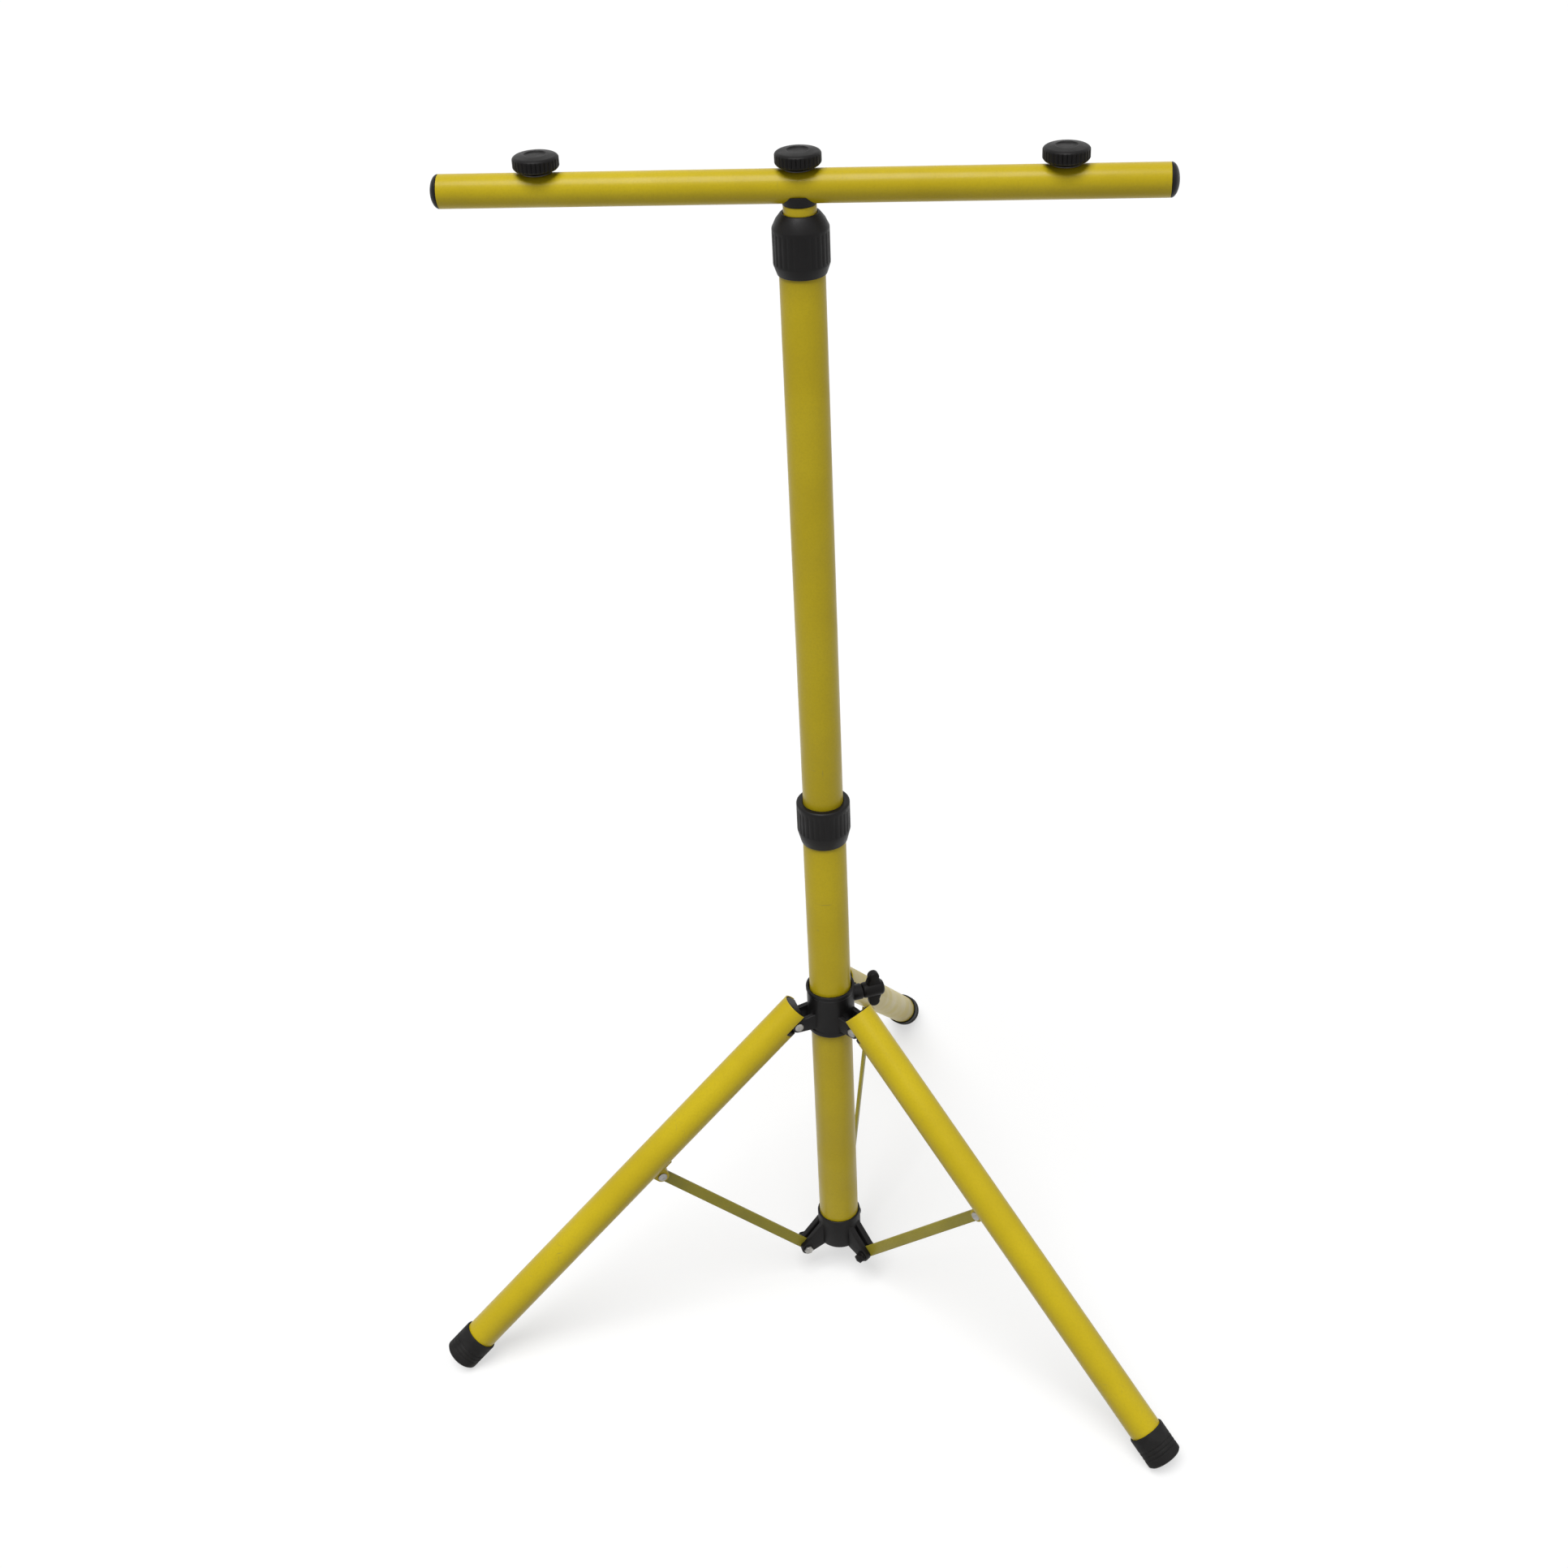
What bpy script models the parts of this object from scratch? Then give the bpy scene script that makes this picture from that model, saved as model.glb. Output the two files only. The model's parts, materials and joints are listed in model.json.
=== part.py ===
"""Telescopic tripod stand with a T-bar for two work lights, in metres, +Z up.

The mast is three nested steel tubes with twist collars. A sliding hub carries three legs,
and three flat struts tie the legs to a spider at the foot of the mast. The crossbar on top
has a clamping knob for each lamp and one that holds the bar to the mast.
"""

from math import atan2, cos, hypot, pi, radians, sin

import bmesh
import bpy
from mathutils import Vector

MM = 0.001
GAP = 0.3 * MM
TUBE_WALL = 1.2 * MM
STAND_CENTRE = (-24.702 * MM, 72.639 * MM)

BASE_TUBE_R = 19 * MM
MIDDLE_TUBE_R = 17.5 * MM
INNER_TUBE_R = 12.5 * MM
LEG_TUBE_R = 15 * MM
BAR_TUBE_R = 12.5 * MM
BASE_TUBE_Z = (48 * MM, 556 * MM)
MIDDLE_TUBE_Z = (488 * MM, 1066 * MM)
INNER_TUBE_Z = (608 * MM, 1088 * MM)

LEG_AZIMUTHS = (202.5, 322.5, 82.5)
LEG_SLOPE = 42.88
HUB_PIVOT = (35 * MM, 326.8 * MM)
SPIDER_PIVOT = (35.8 * MM, 36.3 * MM)
LEG_AXIS_RISE = 8.8 * MM
LEG_TOP = 11.6 * MM
LEG_HOOD = 12 * MM
HOOD_UNDER = 7.3 * MM
LEG_END = 476.1 * MM
STRUT_PIN = (203.3 * MM, -13 * MM)
STRUT_HALF_WIDTH = 5.5 * MM
STRUT_THICKNESS = 3 * MM
PIN_R = 2.5 * MM
PIN_HOLE_R = PIN_R + GAP
TONGUE_HOLE_R = PIN_R + 0.7 * MM

SPIDER_R = 21 * MM
SPIDER_Z = (38 * MM, 74 * MM)
SPIDER_EAR = 6 * MM
SPIDER_STACK = STRUT_THICKNESS + 2 * GAP + 2 * SPIDER_EAR
HUB_R = 22.5 * MM
HUB_BORE_R = 20.3 * MM
HUB_Z = (313.5 * MM, 360 * MM)
TONGUE = 12.4 * MM
HUB_EAR = 4.5 * MM
HUB_SLOT = 13.4 * MM
HUB_STACK = HUB_SLOT + 2 * HUB_EAR
EAR_R = 6.5 * MM
BRACKET_WIDTH = 9.2 * MM
CLAMP_AZIMUTH = 22.5
CLAMP_Z = 343 * MM

BAR_AXIS_Z = 1101 * MM
BAR_LENGTH = 533 * MM
LAMP_X = 192 * MM
STUD_R = 4 * MM
WASHER = 1 * MM
KNOB_R = 17.2 * MM
KNOB_HEIGHT = 12 * MM

ROUND_STEPS = 32
SMALL_STEPS = 16


def clear_scene():
    for old in list(bpy.data.objects):
        bpy.data.objects.remove(old)


def new_collection(name):
    group = bpy.data.collections.new(name)
    bpy.context.scene.collection.children.link(group)
    return group


def new_material(name, colour, roughness, metallic=0.0):
    material = bpy.data.materials.new(name)
    material.use_nodes = True
    shader = material.node_tree.nodes["Principled BSDF"]
    shader.inputs["Base Color"].default_value = (*colour, 1.0)
    shader.inputs["Roughness"].default_value = roughness
    shader.inputs["Metallic"].default_value = metallic
    return material


clear_scene()
PARTS = new_collection("spotlight_tripod")
CUTTERS = new_collection("cutters")
YELLOW = new_material("yellow_powder_coat", (0.66, 0.52, 0.02), 0.35)
STRUT_YELLOW = new_material("strut_paint", (0.38, 0.34, 0.05), 0.45)
PLASTIC = new_material("black_plastic", (0.012, 0.012, 0.013), 0.45)
RUBBER = new_material("black_rubber", (0.014, 0.013, 0.013), 0.75)
STEEL = new_material("zinc_plated_steel", (0.62, 0.62, 0.6), 0.3, 1.0)


def add_frame(name, parent=None, location=(0, 0, 0), rotation=(0, 0, 0)):
    """An empty that carries the pieces of one moving body, on its joint's axis."""
    frame = bpy.data.objects.new(name, None)
    PARTS.objects.link(frame)
    frame.parent = parent
    frame.location = location
    frame.rotation_euler = rotation
    return frame


def radial_frame(name, azimuth, pivot, tilt, parent):
    """Local X points away from the mast and tilts up by tilt degrees, and local Z is level."""
    turn = radians(azimuth)
    radius, height = pivot
    upright = add_frame(
        name, parent, (radius * cos(turn), radius * sin(turn), height), (pi / 2, 0, turn)
    )
    return add_frame(name + "_tilt", upright, rotation=(0, 0, radians(tilt)))


def place(piece, material, parent, location=(0, 0, 0), rotation=(0, 0, 0)):
    piece.parent = parent
    piece.location = location
    piece.rotation_euler = rotation
    if material is not None:
        piece.data.materials.append(material)
    return piece


def weld(mesh):
    """Merges the seams of a generated mesh and turns its faces outwards."""
    shape = bmesh.new()
    shape.from_mesh(mesh)
    bmesh.ops.remove_doubles(shape, verts=shape.verts, dist=0.000001)
    bmesh.ops.recalc_face_normals(shape, faces=shape.faces)
    shape.to_mesh(mesh)
    shape.free()


def as_mesh(piece):
    """The evaluated piece as a plain mesh object, smooth but for its real edges."""
    bpy.context.view_layer.update()
    graph = bpy.context.evaluated_depsgraph_get()
    mesh = bpy.data.meshes.new_from_object(piece.evaluated_get(graph))
    name = piece.name
    homes = list(piece.users_collection)
    bpy.data.objects.remove(piece)
    weld(mesh)
    mesh.shade_smooth()
    mesh.set_sharp_from_angle(angle=radians(32))
    solid = bpy.data.objects.new(name, mesh)
    for home in homes:
        home.objects.link(solid)
    return solid


def turned(name, profile, steps=ROUND_STEPS, collection=None):
    """A shape turned about its local Z. The profile is a list of (radius, height)
    that runs down the outer side and, where the piece has a bore, up the inner one."""
    mesh = bpy.data.meshes.new(name)
    shape = bmesh.new()
    corners = [shape.verts.new((radius, 0, height)) for radius, height in profile]
    for first, second in zip(corners, corners[1:]):
        shape.edges.new((first, second))
    if profile[0][0] > 0 and profile[-1][0] > 0:
        shape.edges.new((corners[-1], corners[0]))
    shape.to_mesh(mesh)
    shape.free()
    piece = bpy.data.objects.new(name, mesh)
    (collection or PARTS).objects.link(piece)
    screw = piece.modifiers.new("turn", "SCREW")
    screw.steps = screw.render_steps = steps
    screw.use_merge_vertices = True
    screw.merge_threshold = 0.00001
    return as_mesh(piece)


def tube(name, radius, low, high):
    bore = radius - TUBE_WALL
    return turned(name, [(radius, high), (radius, low), (bore, low), (bore, high)])


def plate(name, outline, thickness, collection=None):
    """A flat outline in local XY, with its thickness centred on local Z."""
    curve = bpy.data.curves.new(name, "CURVE")
    curve.dimensions = "2D"
    curve.fill_mode = "BOTH"
    curve.extrude = thickness / 2
    spline = curve.splines.new("POLY")
    spline.points.add(len(outline) - 1)
    for point, (x, y) in zip(spline.points, outline):
        point.co = (x, y, 0, 1)
    spline.use_cyclic_u = True
    piece = bpy.data.objects.new(name, curve)
    (collection or PARTS).objects.link(piece)
    return as_mesh(piece)


def arc(centre, radius, start, end, steps):
    """Points on a circle from one angle to another, in degrees, both ends included."""
    turns = [radians(start + (end - start) * i / steps) for i in range(steps + 1)]
    return [(centre[0] + radius * cos(t), centre[1] + radius * sin(t)) for t in turns]


def as_cutter(piece):
    piece.hide_render = True
    piece.display_type = "WIRE"
    return piece


def box_cutter(name, size, parent, location, rotation=(0, 0, 0)):
    mesh = bpy.data.meshes.new(name)
    shape = bmesh.new()
    bmesh.ops.create_cube(shape, size=1.0)
    bmesh.ops.scale(shape, vec=Vector(size), verts=shape.verts)
    shape.to_mesh(mesh)
    shape.free()
    cutter = bpy.data.objects.new(name, mesh)
    CUTTERS.objects.link(cutter)
    return as_cutter(place(cutter, None, parent, location, rotation))


def rod_cutter(name, radius, length, parent, location, rotation=(0, 0, 0), steps=SMALL_STEPS):
    half = length / 2
    rod = turned(name, [(0, half), (radius, half), (radius, -half), (0, -half)], steps, CUTTERS)
    return as_cutter(place(rod, None, parent, location, rotation))


def combine(piece, other, operation="DIFFERENCE"):
    step = piece.modifiers.new(operation.lower(), "BOOLEAN")
    step.operation = operation
    step.solver = "EXACT"
    step.object = other


def pivot_pin(name, width, parent, location=(0, 0, 0)):
    """A pin along local Z whose heads stand on both faces of a stack of this width."""
    face, head, rim = width / 2 + GAP, 1.8 * MM, 4.4 * MM
    edge, crown = 0.5 * MM, 2.6 * MM
    profile = [
        (0, face + head), (crown, face + head), (rim, face + edge), (rim, face),
        (PIN_R, face), (PIN_R, -face),
        (rim, -face), (rim, -face - edge), (crown, -face - head), (0, -face - head),
    ]
    return place(turned(name, profile, SMALL_STEPS), STEEL, parent, location)


def make_base(stand):
    low, high = BASE_TUBE_Z
    place(tube("base_tube", BASE_TUBE_R, low, high), YELLOW, stand)
    sleeve, bore = BASE_TUBE_R + GAP, MIDDLE_TUBE_R + GAP
    rim, over = 21 * MM, high + GAP
    profile = [
        (rim, over + 2 * MM), (rim, over - 22 * MM), (sleeve, over - 22 * MM),
        (sleeve, over), (bore, over), (bore, over + 2 * MM),
    ]
    place(turned("base_ferrule", profile), PLASTIC, stand)
    make_spider(stand)


def make_spider(stand):
    """The plastic foot of the mast: a cup for the tube, with two ears for each strut."""
    low, high = SPIDER_Z
    profile = [
        (0, high), (SPIDER_R - MM, high), (SPIDER_R, high - MM), (SPIDER_R, low + 2 * MM),
        (SPIDER_R - 2 * MM, low), (0, low),
    ]
    spider = place(turned("spider", profile), PLASTIC, stand)
    slot = STRUT_THICKNESS + 2 * GAP
    root = 17.5 * MM - SPIDER_PIVOT[0]
    outline = arc((0, 0), EAR_R, -90, 60, 10) + [(root, 31 * MM), (root, 2 * MM)]
    for number, azimuth in enumerate(LEG_AZIMUTHS, 1):
        lug = radial_frame(f"spider_lug_{number}", azimuth, SPIDER_PIVOT, 0, stand)
        for side in (-1, 1):
            ear = plate(f"spider_ear_{number}_{side}", outline, SPIDER_EAR, CUTTERS)
            offset = (0, 0, side * (slot + SPIDER_EAR) / 2)
            combine(spider, as_cutter(place(ear, None, lug, offset)), "UNION")
        hole = rod_cutter(f"spider_hole_{number}", PIN_HOLE_R, 2 * SPIDER_STACK, lug, (0, 0, 0))
        combine(spider, hole)
        make_spider_bolt(number, lug)
    floor = BASE_TUBE_Z[0] - GAP
    depth = high - floor + 10 * MM
    socket = rod_cutter(
        "spider_socket", BASE_TUBE_R + GAP, depth, stand, (0, 0, floor + depth / 2),
        steps=ROUND_STEPS,
    )
    combine(spider, socket)


def make_spider_bolt(number, lug):
    """The bolt through a strut's lower end, with a closed cap nut on its thread."""
    face, head = SPIDER_STACK / 2 + GAP, 2.6 * MM
    end = face + 4 * MM
    bolt = [
        (0, end), (PIN_R, end), (PIN_R, -face), (4.6 * MM, -face),
        (4.6 * MM, -face - MM), (3 * MM, -face - head), (0, -face - head),
    ]
    place(turned(f"spider_bolt_{number}", bolt, SMALL_STEPS), STEEL, lug)
    bore, rim, cap = PIN_R + GAP, 5.2 * MM, 4.3 * MM
    top = end + GAP
    nut = [
        (0, top + 2.4 * MM), (2.4 * MM, top + 1.8 * MM), (cap, top), (rim, top - MM), (rim, face),
        (bore, face), (bore, top), (0, top),
    ]
    place(turned(f"spider_nut_{number}", nut, SMALL_STEPS), PLASTIC, lug)


def make_mid_collar(stand):
    """The twist nut at the top of the base tube."""
    rim, low, high = 23.35 * MM, 524 * MM, 564 * MM
    thread, bore = 21.3 * MM, MIDDLE_TUBE_R + GAP
    ceiling = BASE_TUBE_Z[1] + 2 * GAP + 2 * MM
    profile = [
        (rim - 1.2 * MM, high), (rim, high - 1.2 * MM), (rim, low + 12 * MM), (20.4 * MM, low),
        (BASE_TUBE_R + GAP, low), (BASE_TUBE_R + GAP, low + 9 * MM), (thread, low + 9 * MM),
        (thread, ceiling), (bore, ceiling), (bore, high),
    ]
    place(turned("mid_collar", profile), PLASTIC, stand)


def make_middle(stand):
    low, high = MIDDLE_TUBE_Z
    place(tube("middle_tube", MIDDLE_TUBE_R, low, high), YELLOW, stand)
    spigot = MIDDLE_TUBE_R - TUBE_WALL - GAP
    guide = [
        (spigot, low + 14 * MM), (spigot, low - GAP), (MIDDLE_TUBE_R, low - GAP),
        (MIDDLE_TUBE_R, low - 4 * MM), (13.5 * MM, low - 4 * MM), (13.5 * MM, low + 14 * MM),
    ]
    place(turned("middle_tube_guide", guide), PLASTIC, stand)
    sleeve, rim, bore = MIDDLE_TUBE_R + GAP, 19.2 * MM, INNER_TUBE_R + GAP
    over = high + GAP
    profile = [
        (14.4 * MM, over + 11 * MM), (16.6 * MM, over + 3 * MM), (rim, over + 3 * MM),
        (rim, over - 20 * MM), (sleeve, over - 20 * MM), (sleeve, over), (bore, over),
        (bore, over + 11 * MM),
    ]
    collet = place(turned("middle_ferrule", profile), PLASTIC, stand)
    for number in range(2):
        size = (50 * MM, 1.6 * MM, 20 * MM)
        centre = (0, 0, over + 13.5 * MM)
        turn = (0, 0, radians(45 + 90 * number))
        combine(collet, box_cutter(f"collet_slot_{number}", size, stand, centre, turn))


def make_top_collar(stand):
    """The twist nut at the top of the middle tube, with its sloping shoulder."""
    rim, low, high = 21.5 * MM, 1036 * MM, 1082 * MM
    thread, bore = 19.5 * MM, INNER_TUBE_R + GAP
    shelf = MIDDLE_TUBE_Z[1] + 2 * GAP + 3 * MM
    profile = [
        (14.7 * MM, high), (rim, high - 11 * MM), (rim, low + 8 * MM), (18.8 * MM, low),
        (MIDDLE_TUBE_R + GAP, low), (MIDDLE_TUBE_R + GAP, low + 6 * MM), (thread, low + 6 * MM),
        (thread, shelf), (17 * MM, shelf), (14.9 * MM, shelf + 8 * MM), (bore, shelf + 9.4 * MM),
        (bore, high),
    ]
    place(turned("top_collar", profile), PLASTIC, stand)


def make_inner(stand):
    low, high = INNER_TUBE_Z
    place(tube("inner_tube", INNER_TUBE_R, low, high), YELLOW, stand)
    rim, bore = MIDDLE_TUBE_R - TUBE_WALL - GAP, INNER_TUBE_R + GAP
    profile = [(rim, low + 30 * MM), (rim, low), (bore, low), (bore, low + 30 * MM)]
    place(turned("inner_tube_guide", profile), PLASTIC, stand)


def make_saddle(stand):
    """The plug in the inner tube's end, whose cradle holds the crossbar."""
    under, lip = INNER_TUBE_Z[1] + GAP, BAR_AXIS_Z - 5.5 * MM
    spigot = INNER_TUBE_R - TUBE_WALL - GAP
    rim, bore, deep = 13 * MM, STUD_R + GAP, 26 * MM
    profile = [
        (rim, lip), (rim, under), (spigot, under), (spigot, under - deep),
        (bore, under - deep), (bore, lip),
    ]
    saddle = place(turned("bar_saddle", profile), PLASTIC, stand)
    level, along = (0, 0, BAR_AXIS_Z), (0, pi / 2, 0)
    cradle_r = BAR_TUBE_R + GAP
    combine(saddle, rod_cutter("cradle", cradle_r, 60 * MM, stand, level, along, ROUND_STEPS))
    top = under - deep - GAP
    nut = [(7 * MM, top), (7 * MM, top - 6 * MM), (bore, top - 6 * MM), (bore, top)]
    place(turned("centre_nut", nut, SMALL_STEPS), STEEL, stand)


def make_crossbar(stand):
    half = BAR_LENGTH / 2
    bar = tube("crossbar_tube", BAR_TUBE_R, -half, half)
    place(bar, YELLOW, stand, (0, 0, BAR_AXIS_Z), (0, pi / 2, 0))
    for name, x in (("left", -LAMP_X), ("right", LAMP_X)):
        centre = (x, 0, BAR_AXIS_Z + BAR_TUBE_R)
        combine(bar, rod_cutter(f"lamp_hole_{name}", STUD_R + GAP, 10 * MM, stand, centre))
        make_seat_nut(f"seat_nut_{name}", x, stand)
    centre = (0, 0, BAR_AXIS_Z)
    combine(bar, rod_cutter("centre_hole", STUD_R + GAP, 40 * MM, stand, centre))
    make_bar_plugs(stand)


def make_seat_nut(name, x, stand):
    """The nut for a lamp knob, held inside the crossbar against its upper wall."""
    top, bore = BAR_AXIS_Z + 8.8 * MM, STUD_R + GAP
    height = 10.8 * MM
    profile = [(6.3 * MM, 0), (6.3 * MM, -height), (bore, -height), (bore, 0)]
    place(turned(name, profile, SMALL_STEPS), STEEL, stand, (x, 0, top))


def make_bar_plugs(stand):
    spigot, dome, rings = BAR_TUBE_R - TUBE_WALL - GAP, 6 * MM, 6
    profile = [
        (BAR_TUBE_R * sin(pi / 2 * i / rings), GAP + dome * cos(pi / 2 * i / rings))
        for i in range(rings + 1)
    ]
    profile += [(spigot, GAP), (spigot, -14 * MM), (0, -14 * MM)]
    for side, name in ((-1, "bar_plug_left"), (1, "bar_plug_right")):
        centre = (side * BAR_LENGTH / 2, 0, BAR_AXIS_Z)
        place(turned(name, profile), PLASTIC, stand, centre, (0, side * pi / 2, 0))


def make_knob(name, x, stud_length, stand):
    """A round clamping knob with its moulded-in stud, on a plain washer on the bar's crown."""
    crown = BAR_AXIS_Z + BAR_TUBE_R + GAP
    bore, foot, thread = STUD_R + GAP, 10.2 * MM, 8 * MM
    ring = [(11.5 * MM, WASHER), (11.5 * MM, 0), (bore, 0), (bore, WASHER)]
    place(turned(name.replace("knob", "washer"), ring), STEEL, stand, (x, 0, crown))
    frame = add_frame(name + "_axis", stand, (x, 0, crown + WASHER + GAP))
    top, rim = KNOB_HEIGHT, KNOB_R
    profile = [
        (0, top + 0.6 * MM), (8 * MM, top + 0.3 * MM), (rim - 2 * MM, top - 0.7 * MM),
        (rim - 0.6 * MM, top - 1.5 * MM), (rim, top - 3 * MM), (rim - 0.4 * MM, 3.2 * MM),
        (rim - 1.8 * MM, 1.4 * MM), (foot, 0.8 * MM), (foot, 0), (bore, 0), (bore, thread),
        (0, thread),
    ]
    place(turned(name, profile), PLASTIC, frame)
    tip = -stud_length
    stud = [
        (0, thread - GAP), (STUD_R, thread - GAP), (STUD_R, tip + MM), (STUD_R - MM, tip), (0, tip),
    ]
    place(turned(name + "_stud", stud, SMALL_STEPS), STEEL, frame)


def make_hub(stand):
    """The collar that slides on the base tube, with two ears for each leg and a clamp boss."""
    low, high = HUB_Z
    profile = [
        (0, high), (HUB_R - MM, high), (HUB_R, high - MM), (HUB_R, low + MM),
        (HUB_R - MM, low), (0, low),
    ]
    hub = place(turned("hub_collar", profile), PLASTIC, stand)
    root = 17.5 * MM - HUB_PIVOT[0]
    outline = arc((0, 0), EAR_R, -90, 75, 10) + [(root, 10 * MM), (root, -EAR_R)]
    for number, azimuth in enumerate(LEG_AZIMUTHS, 1):
        lug = radial_frame(f"hub_lug_{number}", azimuth, HUB_PIVOT, 0, stand)
        for side in (-1, 1):
            ear = plate(f"hub_ear_{number}_{side}", outline, HUB_EAR, CUTTERS)
            offset = (0, 0, side * (HUB_SLOT + HUB_EAR) / 2)
            combine(hub, as_cutter(place(ear, None, lug, offset)), "UNION")
        combine(hub, rod_cutter(f"hub_hole_{number}", PIN_HOLE_R, 40 * MM, lug, (0, 0, 0)))
        pivot_pin(f"leg_pin_{number}", HUB_STACK, lug)
    side = add_frame("clamp_side", stand, (0, 0, CLAMP_Z), (0, 0, radians(CLAMP_AZIMUTH)))
    out, rim, across = 30 * MM, 7.5 * MM, (0, pi / 2, 0)
    boss_profile = [(0, out), (rim - MM, out), (rim, out - MM), (rim, 20 * MM), (0, 20 * MM)]
    boss = turned("clamp_boss", boss_profile, SMALL_STEPS, CUTTERS)
    combine(hub, as_cutter(place(boss, None, side, rotation=across)), "UNION")
    length = high - low + 10 * MM
    middle = (0, 0, (low + high) / 2)
    combine(hub, rod_cutter("hub_bore", HUB_BORE_R, length, stand, middle, steps=ROUND_STEPS))
    combine(hub, rod_cutter("clamp_bore", 3.3 * MM, 20 * MM, side, (26 * MM, 0, 0), across))
    make_wing_knob(side, out)


def make_wing_knob(side, out):
    """The winged knob and screw that lock the hub on the base tube."""
    seat, screw_r, across = out + 2 * GAP, 3 * MM, (0, pi / 2, 0)
    lobe = arc((11.5 * MM, 14 * MM), 5.2 * MM, -15, 195, 10)
    upper = [(19 * MM, 6 * MM)] + lobe + [(4 * MM, 6 * MM)]
    lower = [(x, -y) for x, y in reversed(upper)]
    knob = plate("wing_knob", upper + lower, 8 * MM)
    place(knob, PLASTIC, side, (seat, 0, 0), (pi / 2, 0, 0))
    core_profile = [
        (0, 21 * MM), (5.5 * MM, 21 * MM), (7.5 * MM, 19 * MM), (7.5 * MM, 2 * MM),
        (6.5 * MM, 0), (0, 0),
    ]
    core = turned("wing_knob_core", core_profile, SMALL_STEPS, CUTTERS)
    combine(knob, as_cutter(place(core, None, side, (seat, 0, 0), across)), "UNION")
    combine(knob, rod_cutter("wing_knob_bore", screw_r + GAP, 24 * MM, side, (seat, 0, 0), across))
    tip = BASE_TUBE_R + GAP
    head = seat + 11 * MM
    screw = [(0, head), (screw_r, head), (screw_r, tip + MM), (screw_r - MM, tip), (0, tip)]
    place(turned("clamp_screw", screw, SMALL_STEPS), STEEL, side, rotation=across)


def make_leg(number, azimuth, stand):
    leg = radial_frame(f"leg_{number}", azimuth, HUB_PIVOT, -LEG_SLOPE, stand)
    tube_end = LEG_END - 5 * MM
    shaft = tube(f"leg_tube_{number}", LEG_TUBE_R, -LEG_HOOD, tube_end)
    place(shaft, YELLOW, leg, (0, LEG_AXIS_RISE, 0), (0, pi / 2, 0))
    combine(shaft, hood_cutter(f"leg_notch_{number}", LEG_TOP, leg))
    make_leg_plug(number, leg)
    make_foot(number, leg, tube_end)
    make_bracket(number, leg)


def hood_cutter(name, reach, leg):
    """Clears the leg's underside up to this far past the pivot, where the hub's ears swing."""
    size = (2 * reach + 4 * LEG_HOOD, 40 * MM, 40 * MM)
    return box_cutter(name, size, leg, (-2 * LEG_HOOD, HOOD_UNDER - size[1] / 2, 0))


def make_leg_plug(number, leg):
    """The plastic plug in the leg's top end, whose tongue turns between the hub's ears."""
    spigot = LEG_TUBE_R - TUBE_WALL - GAP
    cap, face = LEG_TOP - GAP, EAR_R + 0.7 * MM
    axis, turn = (0, LEG_AXIS_RISE, 0), (0, pi / 2, 0)
    profile = [
        (0, LEG_TOP + 16 * MM), (spigot, LEG_TOP + 16 * MM), (spigot, MM - LEG_HOOD),
        (spigot - MM, -LEG_HOOD), (0, -LEG_HOOD),
    ]
    plug = place(turned(f"leg_plug_{number}", profile), PLASTIC, leg, axis, turn)
    combine(plug, hood_cutter(f"plug_notch_{number}", face, leg))
    ring = [
        (0, cap), (LEG_TUBE_R, cap), (LEG_TUBE_R, face + MM), (LEG_TUBE_R - MM, face), (0, face),
    ]
    rim = place(turned(f"plug_rim_{number}", ring, collection=CUTTERS), None, leg, axis, turn)
    over = (0, HOOD_UNDER - GAP + 1.5 * LEG_TUBE_R, 0)
    combine(rim, box_cutter(f"rim_cut_{number}", [3 * LEG_TUBE_R] * 3, leg, over))
    combine(plug, as_cutter(rim), "UNION")
    outline = arc((0, 0), EAR_R, 180, 270, 6)
    outline += [(face + MM, -EAR_R), (face + MM, 13 * MM), (-EAR_R, 13 * MM)]
    tongue = plate(f"leg_tongue_{number}", outline, TONGUE, CUTTERS)
    combine(plug, as_cutter(place(tongue, None, leg)), "UNION")
    combine(plug, rod_cutter(f"tongue_hole_{number}", TONGUE_HOLE_R, 40 * MM, leg, (0, 0, 0)))


def make_foot(number, leg, tube_end):
    """A rubber cap on the end of the leg, worn flat where it stands on the floor."""
    bore, rim = LEG_TUBE_R + GAP, LEG_TUBE_R + 1.8 * MM
    lip, floor = LEG_END - 31 * MM, tube_end + GAP
    profile = [
        (0, LEG_END), (rim - 2 * MM, LEG_END), (rim, LEG_END - 2 * MM), (rim, lip + MM),
        (rim - 0.6 * MM, lip), (bore, lip), (bore, floor), (0, floor),
    ]
    foot = turned(f"foot_cap_{number}", profile)
    place(foot, RUBBER, leg, (0, LEG_AXIS_RISE, 0), (0, pi / 2, 0))
    combine(foot, FLOOR_CUTTER)


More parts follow.
